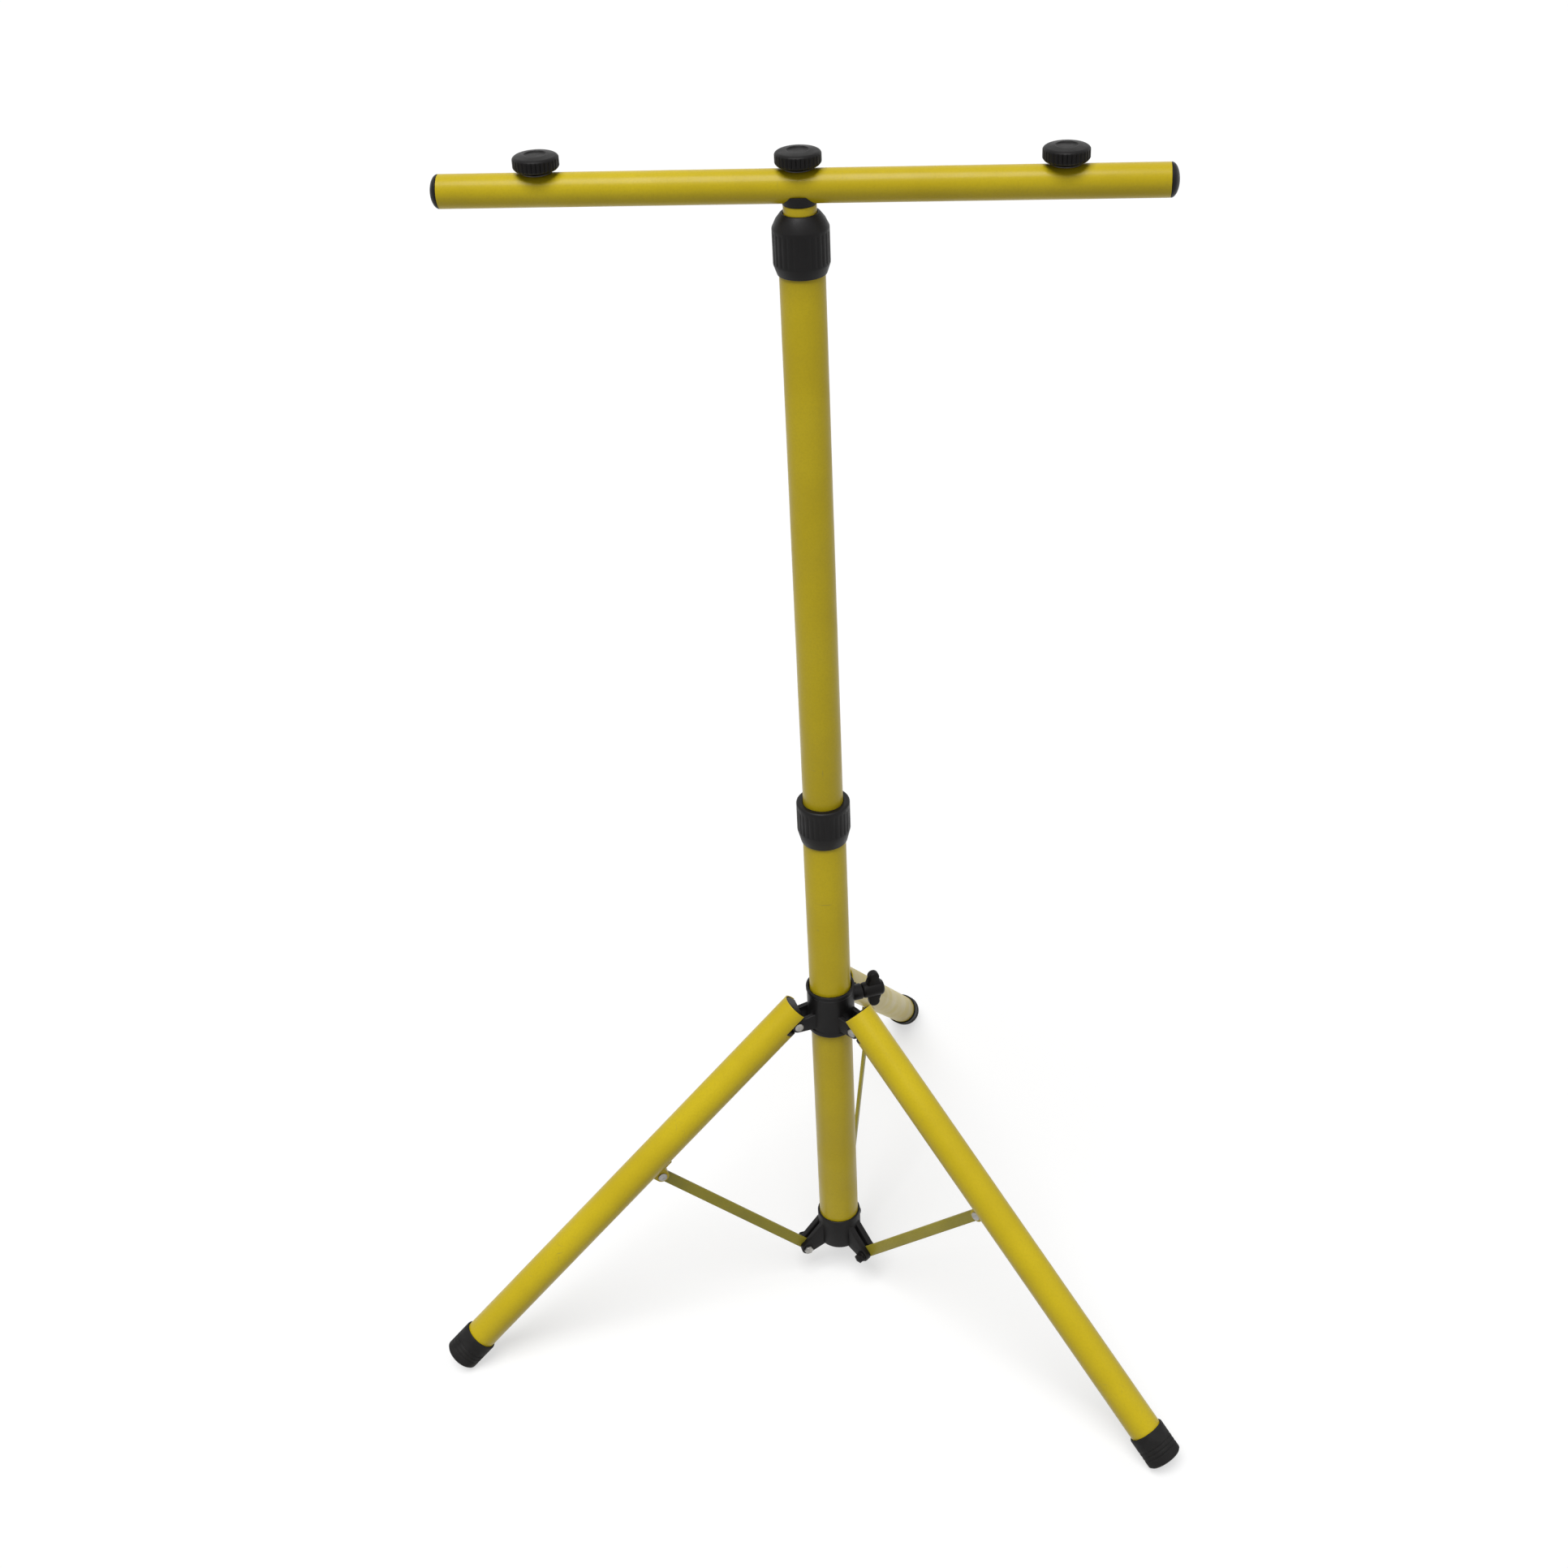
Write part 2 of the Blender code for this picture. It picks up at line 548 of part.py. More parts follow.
def make_bracket(number, leg):
    """The steel bracket under the leg that holds the strut's upper end on a pin."""
    x, y = STRUT_PIN
    back, under, top = x - 18 * MM, LEG_AXIS_RISE - 17.5 * MM, LEG_AXIS_RISE - 13 * MM
    outline = arc((x, y), EAR_R, -180, 0, 12)
    outline += [(x + EAR_R, top), (back, top), (back, under), (x - EAR_R - 2 * MM, under)]
    bracket = plate(f"strut_bracket_{number}", outline, BRACKET_WIDTH)
    place(bracket, YELLOW, leg)
    shaft = rod_cutter(
        f"bracket_shaft_{number}", LEG_TUBE_R + GAP, 80 * MM, leg, (x, LEG_AXIS_RISE, 0),
        (0, pi / 2, 0), ROUND_STEPS,
    )
    combine(bracket, shaft)
    slot = (40 * MM, 40 * MM, STRUT_THICKNESS + 2 * GAP)
    reach = x - STRUT_HALF_WIDTH - GAP + slot[0] / 2
    combine(bracket, box_cutter(f"bracket_slot_{number}", slot, leg, (reach, y, 0)))
    combine(bracket, rod_cutter(f"bracket_hole_{number}", PIN_HOLE_R, 40 * MM, leg, (x, y, 0)))
    pivot_pin(f"bracket_pin_{number}", BRACKET_WIDTH, leg, (x, y, 0))


def strut_span():
    """The strut's length between its pivots, and its slope in degrees."""
    tilt = radians(-LEG_SLOPE)
    along, off = STRUT_PIN
    run = HUB_PIVOT[0] + along * cos(tilt) - off * sin(tilt) - SPIDER_PIVOT[0]
    rise = HUB_PIVOT[1] + along * sin(tilt) + off * cos(tilt) - SPIDER_PIVOT[1]
    return hypot(run, rise), atan2(rise, run) * 180 / pi


def make_strut(number, azimuth, stand):
    length, slope = strut_span()
    strut = radial_frame(f"strut_{number}_axis", azimuth, SPIDER_PIVOT, slope, stand)
    half = STRUT_HALF_WIDTH
    outline = arc((0, 0), half, 90, 270, 10) + arc((length, 0), half, -90, 90, 10)
    bar = plate(f"strut_{number}", outline, STRUT_THICKNESS)
    place(bar, STRUT_YELLOW, strut)
    for end, x in (("lower", 0), ("upper", length)):
        name = f"strut_hole_{number}_{end}"
        combine(bar, rod_cutter(name, PIN_HOLE_R, 10 * MM, strut, (x, 0, 0)))


STAND = add_frame("stand", location=(-STAND_CENTRE[0], -STAND_CENTRE[1], 0))
FLOOR_CUTTER = box_cutter("floor", (1.2, 1.2, 0.1), STAND, (0, 0, -0.05))

make_base(STAND)
make_mid_collar(STAND)
make_middle(STAND)
make_top_collar(STAND)
make_inner(STAND)
make_saddle(STAND)
make_crossbar(STAND)
make_knob("lamp_knob_left", -LAMP_X, 20 * MM, STAND)
make_knob("lamp_knob_right", LAMP_X, 20 * MM, STAND)
make_knob("centre_knob", 0, 72 * MM, STAND)
make_hub(STAND)
for leg_number, leg_azimuth in enumerate(LEG_AZIMUTHS, 1):
    make_leg(leg_number, leg_azimuth, STAND)
    make_strut(leg_number, leg_azimuth, STAND)
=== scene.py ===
"""The spotlight tripod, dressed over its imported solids, in metres, +Z up.

The sections follow the stand as it is put together: the mast from the bottom tube up, the
crossbar and its knobs, the hub and the legs, and the spider with its struts.
"""

import json
from math import cos, hypot, pi, radians, sin

import bmesh
import bpy
from mathutils import Matrix, Vector

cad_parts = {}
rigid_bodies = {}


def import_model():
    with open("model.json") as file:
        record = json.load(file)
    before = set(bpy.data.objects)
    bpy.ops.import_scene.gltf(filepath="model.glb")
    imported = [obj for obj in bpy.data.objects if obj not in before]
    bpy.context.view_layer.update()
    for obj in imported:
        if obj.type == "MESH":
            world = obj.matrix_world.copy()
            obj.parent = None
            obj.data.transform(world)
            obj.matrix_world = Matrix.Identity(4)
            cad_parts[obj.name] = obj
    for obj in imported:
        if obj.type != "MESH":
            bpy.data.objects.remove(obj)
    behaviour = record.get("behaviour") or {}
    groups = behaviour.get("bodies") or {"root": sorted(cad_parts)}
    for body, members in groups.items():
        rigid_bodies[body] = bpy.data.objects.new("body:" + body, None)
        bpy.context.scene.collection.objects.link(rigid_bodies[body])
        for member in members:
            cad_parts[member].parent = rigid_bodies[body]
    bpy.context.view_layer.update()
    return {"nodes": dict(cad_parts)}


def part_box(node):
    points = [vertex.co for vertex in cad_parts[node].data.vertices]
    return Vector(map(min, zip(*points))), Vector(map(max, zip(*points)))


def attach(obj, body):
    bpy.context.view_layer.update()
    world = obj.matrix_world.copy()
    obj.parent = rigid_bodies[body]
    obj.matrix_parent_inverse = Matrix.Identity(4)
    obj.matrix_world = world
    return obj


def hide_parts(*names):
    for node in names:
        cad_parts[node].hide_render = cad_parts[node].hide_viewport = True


for startup_object in list(bpy.data.objects):
    bpy.data.objects.remove(startup_object)

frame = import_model()
MM = 0.001

# The camera. The photograph looks down on the stand from above the crossbar, close enough
# for the mast to taper towards its foot, and the picture is turned by about three degrees.
tube_low, tube_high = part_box("base_tube")
MAST = Matrix.Translation((*((tube_low + tube_high) / 2).xy, 0))
CAMERA_DISTANCE, CAMERA_HEIGHT = 1.49545, 1.56589
CAMERA_SIDE, CAMERA_TURN = radians(5.194), radians(6.46)
CAMERA_PITCH, CAMERA_ROLL = radians(33.33), radians(-2.934)
FOCAL_LENGTH, SENSOR_WIDTH = 47.6, 36

forward = Vector((
    -sin(CAMERA_TURN) * cos(CAMERA_PITCH), cos(CAMERA_TURN) * cos(CAMERA_PITCH),
    -sin(CAMERA_PITCH),
))
level = Vector((cos(CAMERA_TURN), sin(CAMERA_TURN), 0))
upright = level.cross(forward)
right = cos(CAMERA_ROLL) * level + sin(CAMERA_ROLL) * upright
above = cos(CAMERA_ROLL) * upright - sin(CAMERA_ROLL) * level
lens = bpy.data.cameras.new("photo_camera")
lens.lens, lens.sensor_width = FOCAL_LENGTH, SENSOR_WIDTH
lens.clip_start, lens.clip_end = 0.05, 60
camera = bpy.data.objects.new("photo_camera", lens)
bpy.context.scene.collection.objects.link(camera)
camera.matrix_world = Matrix.Translation(MAST @ Vector((
    CAMERA_DISTANCE * sin(CAMERA_SIDE), -CAMERA_DISTANCE * cos(CAMERA_SIDE), CAMERA_HEIGHT,
))) @ Matrix((right, above, -forward)).transposed().to_4x4()
bpy.context.scene.camera = camera
bpy.context.scene.view_settings.view_transform = "Standard"

# The studio. A plain pale floor, a white surround that only the camera and reflections see at
# full strength, and one broad soft lamp overhead, a little in front, with a much weaker one
# from the right.
FLOOR_RADIUS, FLOOR_DROP = 14, 0.5 * MM
FLOOR_GREY, FLOOR_LIFT = 0.42, 0.61
SURROUND_LIGHT = 0.18
LAMPS = (("key", 2.6, 40, (20, 0, -20)), ("side", 0.15, 60, (60, 0, 75)))


def add(tree, kind, inputs=None, **settings):
    """A shader node whose inputs are set to plain values or linked to other nodes' outputs."""
    node = tree.nodes.new(kind)
    for name, value in settings.items():
        setattr(node, name, value)
    for name, value in (inputs or {}).items():
        if isinstance(value, bpy.types.NodeSocket):
            tree.links.new(value, node.inputs[name])
        else:
            node.inputs[name].default_value = value
    return node


def seen_directly(tree):
    """1 where the camera, a reflection or a view through glass meets the surface."""
    path = add(tree, "ShaderNodeLightPath").outputs
    either = add(
        tree, "ShaderNodeMath", {0: path["Is Camera Ray"], 1: path["Is Glossy Ray"]},
        operation="MAXIMUM",
    )
    return add(
        tree, "ShaderNodeMath", {0: either.outputs[0], 1: path["Is Transmission Ray"]},
        operation="MAXIMUM",
    ).outputs[0]


surround = bpy.data.worlds.new("white_surround")
surround.use_nodes = True
sky = surround.node_tree
sky.nodes.clear()
soft_sky = add(sky, "ShaderNodeBackground", {"Color": (1, 1, 1, 1), "Strength": SURROUND_LIGHT})
white_sky = add(sky, "ShaderNodeBackground", {"Color": (1, 1, 1, 1), "Strength": 1.0})
mixed_sky = add(sky, "ShaderNodeMixShader", {
    0: seen_directly(sky), 1: soft_sky.outputs[0], 2: white_sky.outputs[0],
})
add(sky, "ShaderNodeOutputWorld", {"Surface": mixed_sky.outputs[0]})
bpy.context.scene.world = surround

floor_mesh = bpy.data.meshes.new("floor")
floor_shape = bmesh.new()
bmesh.ops.create_circle(floor_shape, cap_ends=True, radius=FLOOR_RADIUS, segments=64)
floor_shape.to_mesh(floor_mesh)
floor_shape.free()
floor = bpy.data.objects.new("floor", floor_mesh)
floor.location.z = -FLOOR_DROP
bpy.context.scene.collection.objects.link(floor)
paper = bpy.data.materials.new("studio_paper")
paper.use_nodes = True
paper_tree = paper.node_tree
paper_tree.nodes.clear()
paper_base = add(paper_tree, "ShaderNodeBsdfDiffuse", {"Color": (*[FLOOR_GREY] * 3, 1)})
paper_lift = add(paper_tree, "ShaderNodeMath", {0: seen_directly(paper_tree), 1: FLOOR_LIFT},
                 operation="MULTIPLY")
paper_glow = add(paper_tree, "ShaderNodeEmission", {"Strength": paper_lift.outputs[0]})
paper_sum = add(paper_tree, "ShaderNodeAddShader", {
    0: paper_base.outputs[0], 1: paper_glow.outputs[0],
})
add(paper_tree, "ShaderNodeOutputMaterial", {"Surface": paper_sum.outputs[0]})
floor_mesh.materials.append(paper)

for lamp_name, strength, spread, angles in LAMPS:
    lamp = bpy.data.lights.new(lamp_name + "_lamp", "SUN")
    lamp.energy, lamp.angle = strength, radians(spread)
    lamp_object = bpy.data.objects.new(lamp_name + "_lamp", lamp)
    lamp_object.rotation_euler = [radians(a) for a in angles]
    bpy.context.scene.collection.objects.link(lamp_object)

# The bottom tube of the mast. It is drawn steel tube of 38 mm with a 1.2 mm wall, cut square,
# its edges just broken, and powder coated in yellow. The hub rides up and down on it.
TUBE_WALL = 1.2 * MM
BASE_TUBE_R = 19 * MM
BASE_TUBE_ENDS = (48 * MM, 556 * MM)
PAINT_YELLOW, PAINT_DEEP = (0.66, 0.505, 0.010), (0.575, 0.43, 0.008)
BARE_STEEL = (0.30, 0.29, 0.27)
SHARP_TURN, LEAST_CORNER = radians(34), radians(14)
MERGE_DISTANCE, TINY = 0.002 * MM, 1e-7


def new_group(name, inputs, outputs):
    """An empty shader group, with its inputs and outputs given as name and first value."""
    group = bpy.data.node_groups.new(name, "ShaderNodeTree")
    for socket, value in inputs.items():
        kind = "NodeSocketFloat" if isinstance(value, (int, float)) else "NodeSocketColor"
        group.interface.new_socket(socket, in_out="INPUT", socket_type=kind).default_value = value
    for socket, kind in outputs.items():
        group.interface.new_socket(socket, in_out="OUTPUT", socket_type=kind)
    return group, group.nodes.new("NodeGroupInput").outputs, group.nodes.new("NodeGroupOutput")


def noise(tree, scale, detail=3.0, roughness=0.5, vector=None):
    """The value of a noise texture, fixed to the piece."""
    if vector is None:
        vector = add(tree, "ShaderNodeTexCoord").outputs["Object"]
    return add(tree, "ShaderNodeTexNoise", {
        "Vector": vector, "Scale": scale, "Detail": detail, "Roughness": roughness,
    }).outputs["Fac"]


def remap(tree, value, low, high, new_low=0.0, new_high=1.0):
    """A value stretched from one range to another, easing in and out at the ends."""
    return add(tree, "ShaderNodeMapRange", {
        "Value": value, "From Min": low, "From Max": high, "To Min": new_low, "To Max": new_high,
    }, interpolation_type="SMOOTHSTEP").outputs[0]


def combine(tree, operation, first, second):
    """The result of a sum on two values, such as ADD or MULTIPLY."""
    return add(tree, "ShaderNodeMath", {0: first, 1: second}, operation=operation).outputs[0]


def blend_colour(tree, amount, first, second):
    """Two colours mixed by a mask. A plain colour is given as three numbers."""
    ends = [(*c, 1) if isinstance(c, tuple) else c for c in (first, second)]
    return add(tree, "ShaderNodeMix", {0: amount, 6: ends[0], 7: ends[1]},
               data_type="RGBA").outputs[2]


def make_edge_wear():
    """Edges that hands and other parts rub, found where a small bevel would turn the surface."""
    group, given, out = new_group(
        "edge_wear", {"Width": 0.0008, "Breakup": 160.0, "Least Turn": 0.03},
        {"Wear": "NodeSocketFloat"},
    )
    bevel = add(group, "ShaderNodeBevel", {"Radius": given["Width"]}, samples=6)
    facing = add(group, "ShaderNodeVectorMath", {
        0: bevel.outputs[0], 1: add(group, "ShaderNodeNewGeometry").outputs["Normal"],
    }, operation="DOT_PRODUCT").outputs["Value"]
    turn = combine(group, "SUBTRACT", 1.0, facing)
    patchy = remap(group, noise(group, given["Breakup"], 4.0, 0.65), 0.42, 0.62)
    edge = add(group, "ShaderNodeMapRange", {
        "Value": turn, "From Min": given["Least Turn"], "From Max": 0.3,
    }).outputs[0]
    group.links.new(combine(group, "MULTIPLY", edge, patchy), out.inputs["Wear"])
    return group


def make_fine_texture():
    """A shallow two-scale surface: broad soft waves with a finer grain over them."""
    group, given, out = new_group(
        "fine_texture", {"Wave Scale": 260.0, "Grain Scale": 1500.0, "Grain Share": 0.3},
        {"Height": "NodeSocketFloat"},
    )
    wave = noise(group, given["Wave Scale"], 1.0, 0.4)
    grain = combine(group, "MULTIPLY", noise(group, given["Grain Scale"], 2.0),
                    given["Grain Share"])
    group.links.new(combine(group, "ADD", wave, grain), out.inputs["Height"])
    return group


def make_scuffs():
    """Short scratches and rubbed patches that lie along and across a piece."""
    group, given, out = new_group(
        "scuffs", {"Scale": 40.0, "Amount": 0.5}, {"Scratch": "NodeSocketFloat"},
    )
    place = add(group, "ShaderNodeTexCoord").outputs["Object"]
    scratches = []
    for stretch, turn in (((1, 9, 1.4), 0.5), ((7, 1, 0.6), -0.35), ((1.3, 1.1, 12), 0.2)):
        laid = add(group, "ShaderNodeMapping", {
            "Vector": place, "Rotation": (turn, 0.4 * turn, turn), "Scale": stretch,
        }).outputs[0]
        line = noise(group, given["Scale"], 5.0, 0.62, laid)
        scratches.append(remap(group, line, 0.66, 0.72))
    both = combine(group, "MAXIMUM", scratches[0], scratches[1])
    every = combine(group, "MAXIMUM", both, scratches[2])
    patch = remap(group, noise(group, 11.0, 3.0), 0.48, 0.66)
    found = combine(group, "MULTIPLY", every, patch)
    group.links.new(combine(group, "MULTIPLY", found, given["Amount"]), out.inputs["Scratch"])
    return group


EDGE_WEAR, FINE_TEXTURE, SCUFFS = make_edge_wear(), make_fine_texture(), make_scuffs()


def use_group(tree, group, **values):
    """One of the shared effects, placed in a material with its own values."""
    node = add(tree, "ShaderNodeGroup", node_tree=group)
    for name, value in values.items():
        node.inputs[name.replace("_", " ")].default_value = value
    return node.outputs[0]


def surface(name, specular, coat=0.0):
    """A new material with its Principled shader, and the tree to build in."""
    material = bpy.data.materials.new(name)
    material.use_nodes = True
    shader = material.node_tree.nodes["Principled BSDF"]
    shader.inputs["Specular IOR Level"].default_value = specular
    shader.inputs["Coat Weight"].default_value = coat
    shader.inputs["Coat Roughness"].default_value = 0.12
    return material, material.node_tree, shader


def finish_surface(tree, shader, colour, roughness, height, strength, distance):
    """Links the colour and the roughness to the shader, and the height through a bump."""
    bump = add(tree, "ShaderNodeBump", {
        "Height": height, "Strength": strength, "Distance": distance,
    }).outputs[0]
    for socket, value in (("Base Color", colour), ("Roughness", roughness), ("Normal", bump)):
        tree.links.new(value, shader.inputs[socket])


def powder_coat(name, bright, deep, roughness, scratch, width=0.0008):
    """Baked powder coat: faint orange peel, soft drifts of shade, steel bared on its edges."""
    material, tree, shader = surface(name, specular=0.22, coat=0.08)
    drift = remap(tree, noise(tree, 7.0, 4.0, 0.6), 0.3, 0.7)
    speck = remap(tree, noise(tree, 620.0, 2.0), 0.35, 0.75, 0.0, 0.22)
    colour = blend_colour(tree, drift, deep, bright)
    colour = blend_colour(tree, speck, colour, tuple(0.8 * c for c in deep))
    scuff = use_group(tree, SCUFFS, Scale=38.0, Amount=scratch)
    grey_yellow = tuple(0.45 * c + 0.05 for c in deep)
    colour = blend_colour(tree, scuff, colour, grey_yellow)
    wear = use_group(tree, EDGE_WEAR, Width=width, Breakup=210.0)
    colour = blend_colour(tree, wear, colour, BARE_STEEL)
    tree.links.new(combine(tree, "MULTIPLY", wear, 0.75), shader.inputs["Metallic"])
    worn = combine(tree, "MAXIMUM", scuff, wear)
    base = remap(tree, noise(tree, 26.0, 3.0), 0.3, 0.7, roughness - 0.05, roughness + 0.06)
    rough = combine(tree, "ADD", base, combine(tree, "MULTIPLY", worn, 0.16))
    peel = use_group(tree, FINE_TEXTURE, Wave_Scale=520.0, Grain_Scale=1900.0, Grain_Share=0.25)
    height = combine(tree, "SUBTRACT", peel, combine(tree, "MULTIPLY", worn, 0.8))
    finish_surface(tree, shader, colour, rough, height, strength=0.22, distance=0.15 * MM)
    return material


YELLOW_COAT = powder_coat("yellow_powder_coat", PAINT_YELLOW, PAINT_DEEP, roughness=0.36,
                          scratch=0.5)


def fillet(profile, radius, closed=True):
    """The outline with each of its corners rounded off a little, as a real edge is."""
    points = []
    for i, corner in enumerate(profile):
        here = Vector(corner)
        before = Vector(profile[i - 1]) - here
        after = Vector(profile[(i + 1) % len(profile)]) - here
        loose_end = not closed and i in (0, len(profile) - 1)
        if loose_end or pi - before.angle(after) < LEAST_CORNER:
            points.append(tuple(corner))
            continue
        cut = min(radius, 0.45 * before.length, 0.45 * after.length)
        start = here + before.normalized() * cut
        end = here + after.normalized() * cut
        for t in (0, 1 / 3, 2 / 3, 1):
            points.append(tuple((1 - t) ** 2 * start + 2 * t * (1 - t) * here + t * t * end))
    return points


def smooth(mesh):
    """Smooth shading, broken where the surface turns sharply."""
    mesh.shade_smooth()
    mesh.set_sharp_from_angle(angle=SHARP_TURN)


def solid(name, shape, place):
    """A piece from a closed bmesh, moved to its place in the model."""
    bmesh.ops.remove_doubles(shape, verts=shape.verts, dist=MERGE_DISTANCE)
    bmesh.ops.recalc_face_normals(shape, faces=shape.faces)
    mesh = bpy.data.meshes.new(name)
    shape.to_mesh(mesh)
    shape.free()
    mesh.transform(place)
    smooth(mesh)
    piece = bpy.data.objects.new(name, mesh)
    bpy.context.scene.collection.objects.link(piece)
    return piece


def turned(name, profile, place, steps=96, edge=0.3 * MM, dent=None):
    """A lathe-turned piece. The profile runs down the outside and, round a bore, up the inside.
    dent(radius, height, angle) says how far the surface is sunk there."""
    closed = profile[0][0] > 0 and profile[-1][0] > 0
    shape = bmesh.new()
    rings = []
    for radius, height in fillet(profile, edge, closed):
        if radius < TINY:
            rings.append([shape.verts.new((0, 0, height))])
            continue
        ring = []
        for i in range(steps):
            turn = 2 * pi * i / steps
            reach = radius - (dent(radius, height, turn) if dent else 0)
            ring.append(shape.verts.new((reach * cos(turn), reach * sin(turn), height)))
        rings.append(ring)
    for one, other in zip(rings, rings[1:] + rings[:1] if closed else rings[1:]):
        for i in range(steps):
            ends = ((one, i), (one, i + 1), (other, i + 1), (other, i))
            corners = list(dict.fromkeys(ring[j % len(ring)] for ring, j in ends))
            if len(corners) > 2:
                shape.faces.new(corners)
    return solid(name, shape, place)


def tube(name, radius, ends, place):
    """A length of thin-walled tube along the Z of its place."""
    bore, (low, high) = radius - TUBE_WALL, ends
    return turned(name, [(radius, high), (radius, low), (bore, low), (bore, high)], place)


def dress(piece, node, body, material):
    """The piece takes its material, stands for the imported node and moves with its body."""
    piece.data.materials.clear()
    piece.data.materials.append(material)
    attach(piece, body)
    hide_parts(node)


def keep(node, material):
    """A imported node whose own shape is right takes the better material."""
    kept = frame["nodes"][node]
    kept.data.materials.clear()
    kept.data.materials.append(material)


dress(tube("coated_base_tube", BASE_TUBE_R, BASE_TUBE_ENDS, MAST),
      "base_tube", "base", YELLOW_COAT)

# The lower twist nut. It is moulded in black plastic, with shallow grip grooves and a tapered
# skirt, and it clamps the split ferrule on top of the bottom tube round the middle tube.
MID_COLLAR_R, MID_COLLAR_ENDS = 23.35 * MM, (524 * MM, 564 * MM)
MIDDLE_TUBE_R = 17.5 * MM
GAP = 0.3 * MM
GRIP_RUN = 1.2 * MM
BLACK, BLACK_RUBBED = (0.0065, 0.0060, 0.0062), (0.026, 0.025, 0.025)


def moulded_plastic(name, colour, rubbed, roughness, specular, grain):
    """Moulded plastic: a spark-eroded grain, faint cloudiness and paler rubbed edges."""
    material, tree, shader = surface(name, specular)
    cloud = remap(tree, noise(tree, 55.0, 4.0, 0.6), 0.3, 0.72, 0.0, 0.4)
    shade = blend_colour(tree, cloud, colour, tuple(1.9 * c for c in colour))
    scuff = use_group(tree, SCUFFS, Scale=60.0, Amount=0.6)
    shade = blend_colour(tree, scuff, shade, rubbed)
    wear = use_group(tree, EDGE_WEAR, Width=0.0009, Breakup=330.0)
    shade = blend_colour(tree, wear, shade, rubbed)
    base = remap(tree, noise(tree, 80.0, 3.0), 0.3, 0.7, roughness - 0.05, roughness + 0.07)
    rough = combine(tree, "SUBTRACT", base, combine(tree, "MULTIPLY", wear, 0.1))
    pitted = use_group(tree, FINE_TEXTURE, Wave_Scale=900.0, Grain_Scale=2600.0, Grain_Share=0.8)
    finish_surface(tree, shader, shade, rough, pitted, strength=grain, distance=0.12 * MM)
    return material


BLACK_PLASTIC = moulded_plastic("black_plastic", BLACK, BLACK_RUBBED, roughness=0.42,
                                specular=0.17, grain=0.35)


def grip(count, depth, low, high, least_radius):
    """Rounded grooves down the outside of a nut or knob, which run out at both ends."""
    def dent(radius, height, turn):
        if radius < least_radius or not low < height < high:
            return 0
        ends = min(1, (height - low) / GRIP_RUN, (high - height) / GRIP_RUN)
        return depth * ends * max(0, cos(count * turn)) ** 2
    return dent


def stations(radius, low, high, run=GRIP_RUN):
    """Points down a straight wall where the grip grooves start and end."""
    return [(radius, high), (radius, high - run), (radius, low + run), (radius, low)]


low, high = MID_COLLAR_ENDS
grip_low, grip_high = low + 13 * MM, high - 5 * MM
skirt, throat, thread_start = BASE_TUBE_R + GAP, 20.4 * MM, low + 9 * MM
thread, bore = 21.3 * MM, MIDDLE_TUBE_R + GAP
ceiling, chamfer = BASE_TUBE_ENDS[1] + 2 * GAP + 2 * MM, 1.2 * MM
mid_profile = [
    (MID_COLLAR_R - chamfer, high), (MID_COLLAR_R, high - chamfer),
    *stations(MID_COLLAR_R, grip_low, grip_high), (MID_COLLAR_R, grip_low - MM),
    (throat, low), (skirt, low), (skirt, thread_start), (thread, thread_start),
    (thread, ceiling), (bore, ceiling), (bore, high),
]
mid_grip = grip(30, 0.7 * MM, grip_low, grip_high, least_radius=22.5 * MM)
dress(turned("ribbed_mid_collar", mid_profile, MAST, steps=180, edge=0.6 * MM, dent=mid_grip),
      "mid_collar", "mid_collar", BLACK_PLASTIC)
keep("base_ferrule", BLACK_PLASTIC)

# The middle tube slides in the bottom one. It is 35 mm steel tube in the same yellow, with a
# plastic guide sleeve on its lower end that keeps it from rattling and from coming out.
MIDDLE_TUBE_ENDS = (488 * MM, 1066 * MM)

dress(tube("coated_middle_tube", MIDDLE_TUBE_R, MIDDLE_TUBE_ENDS, MAST),
      "middle_tube", "middle", YELLOW_COAT)
keep("middle_tube_guide", BLACK_PLASTIC)
keep("middle_ferrule", BLACK_PLASTIC)

# The upper twist nut. It is the taller moulding, with a sloping shoulder, and its inner cone
# squeezes the collet fingers of the ferrule on the thin top tube.
TOP_COLLAR_R, TOP_COLLAR_ENDS = 21.5 * MM, (1036 * MM, 1082 * MM)
INNER_TUBE_R = 12.5 * MM

low, high = TOP_COLLAR_ENDS
grip_low, grip_high = low + 9 * MM, high - 13 * MM
skirt, throat, thread_start = MIDDLE_TUBE_R + GAP, 18.8 * MM, low + 6 * MM
thread, bore = 19.5 * MM, INNER_TUBE_R + GAP
shelf = MIDDLE_TUBE_ENDS[1] + 2 * GAP + 3 * MM
shoulder = [(14.7 * MM, high), (18.6 * MM, high - 5 * MM), (TOP_COLLAR_R, high - 11 * MM)]
cone = [(17 * MM, shelf), (14.9 * MM, shelf + 8 * MM), (bore, shelf + 9.4 * MM)]
top_profile = [
    *shoulder, *stations(TOP_COLLAR_R, grip_low, grip_high), (TOP_COLLAR_R, grip_low - MM),
    (throat, low), (skirt, low), (skirt, thread_start), (thread, thread_start),
    (thread, shelf), *cone, (bore, high),
]
top_grip = grip(28, 0.7 * MM, grip_low, grip_high, least_radius=20.6 * MM)
dress(turned("ribbed_top_collar", top_profile, MAST, steps=168, edge=0.8 * MM, dent=top_grip),
      "top_collar", "top_collar", BLACK_PLASTIC)

# The top tube, 25 mm across, slides in the middle tube. A split plastic sleeve guides its lower
# end. While the tube is pushed in, it shows only as a short neck under the crossbar.
INNER_TUBE_ENDS = (608 * MM, 1088 * MM)

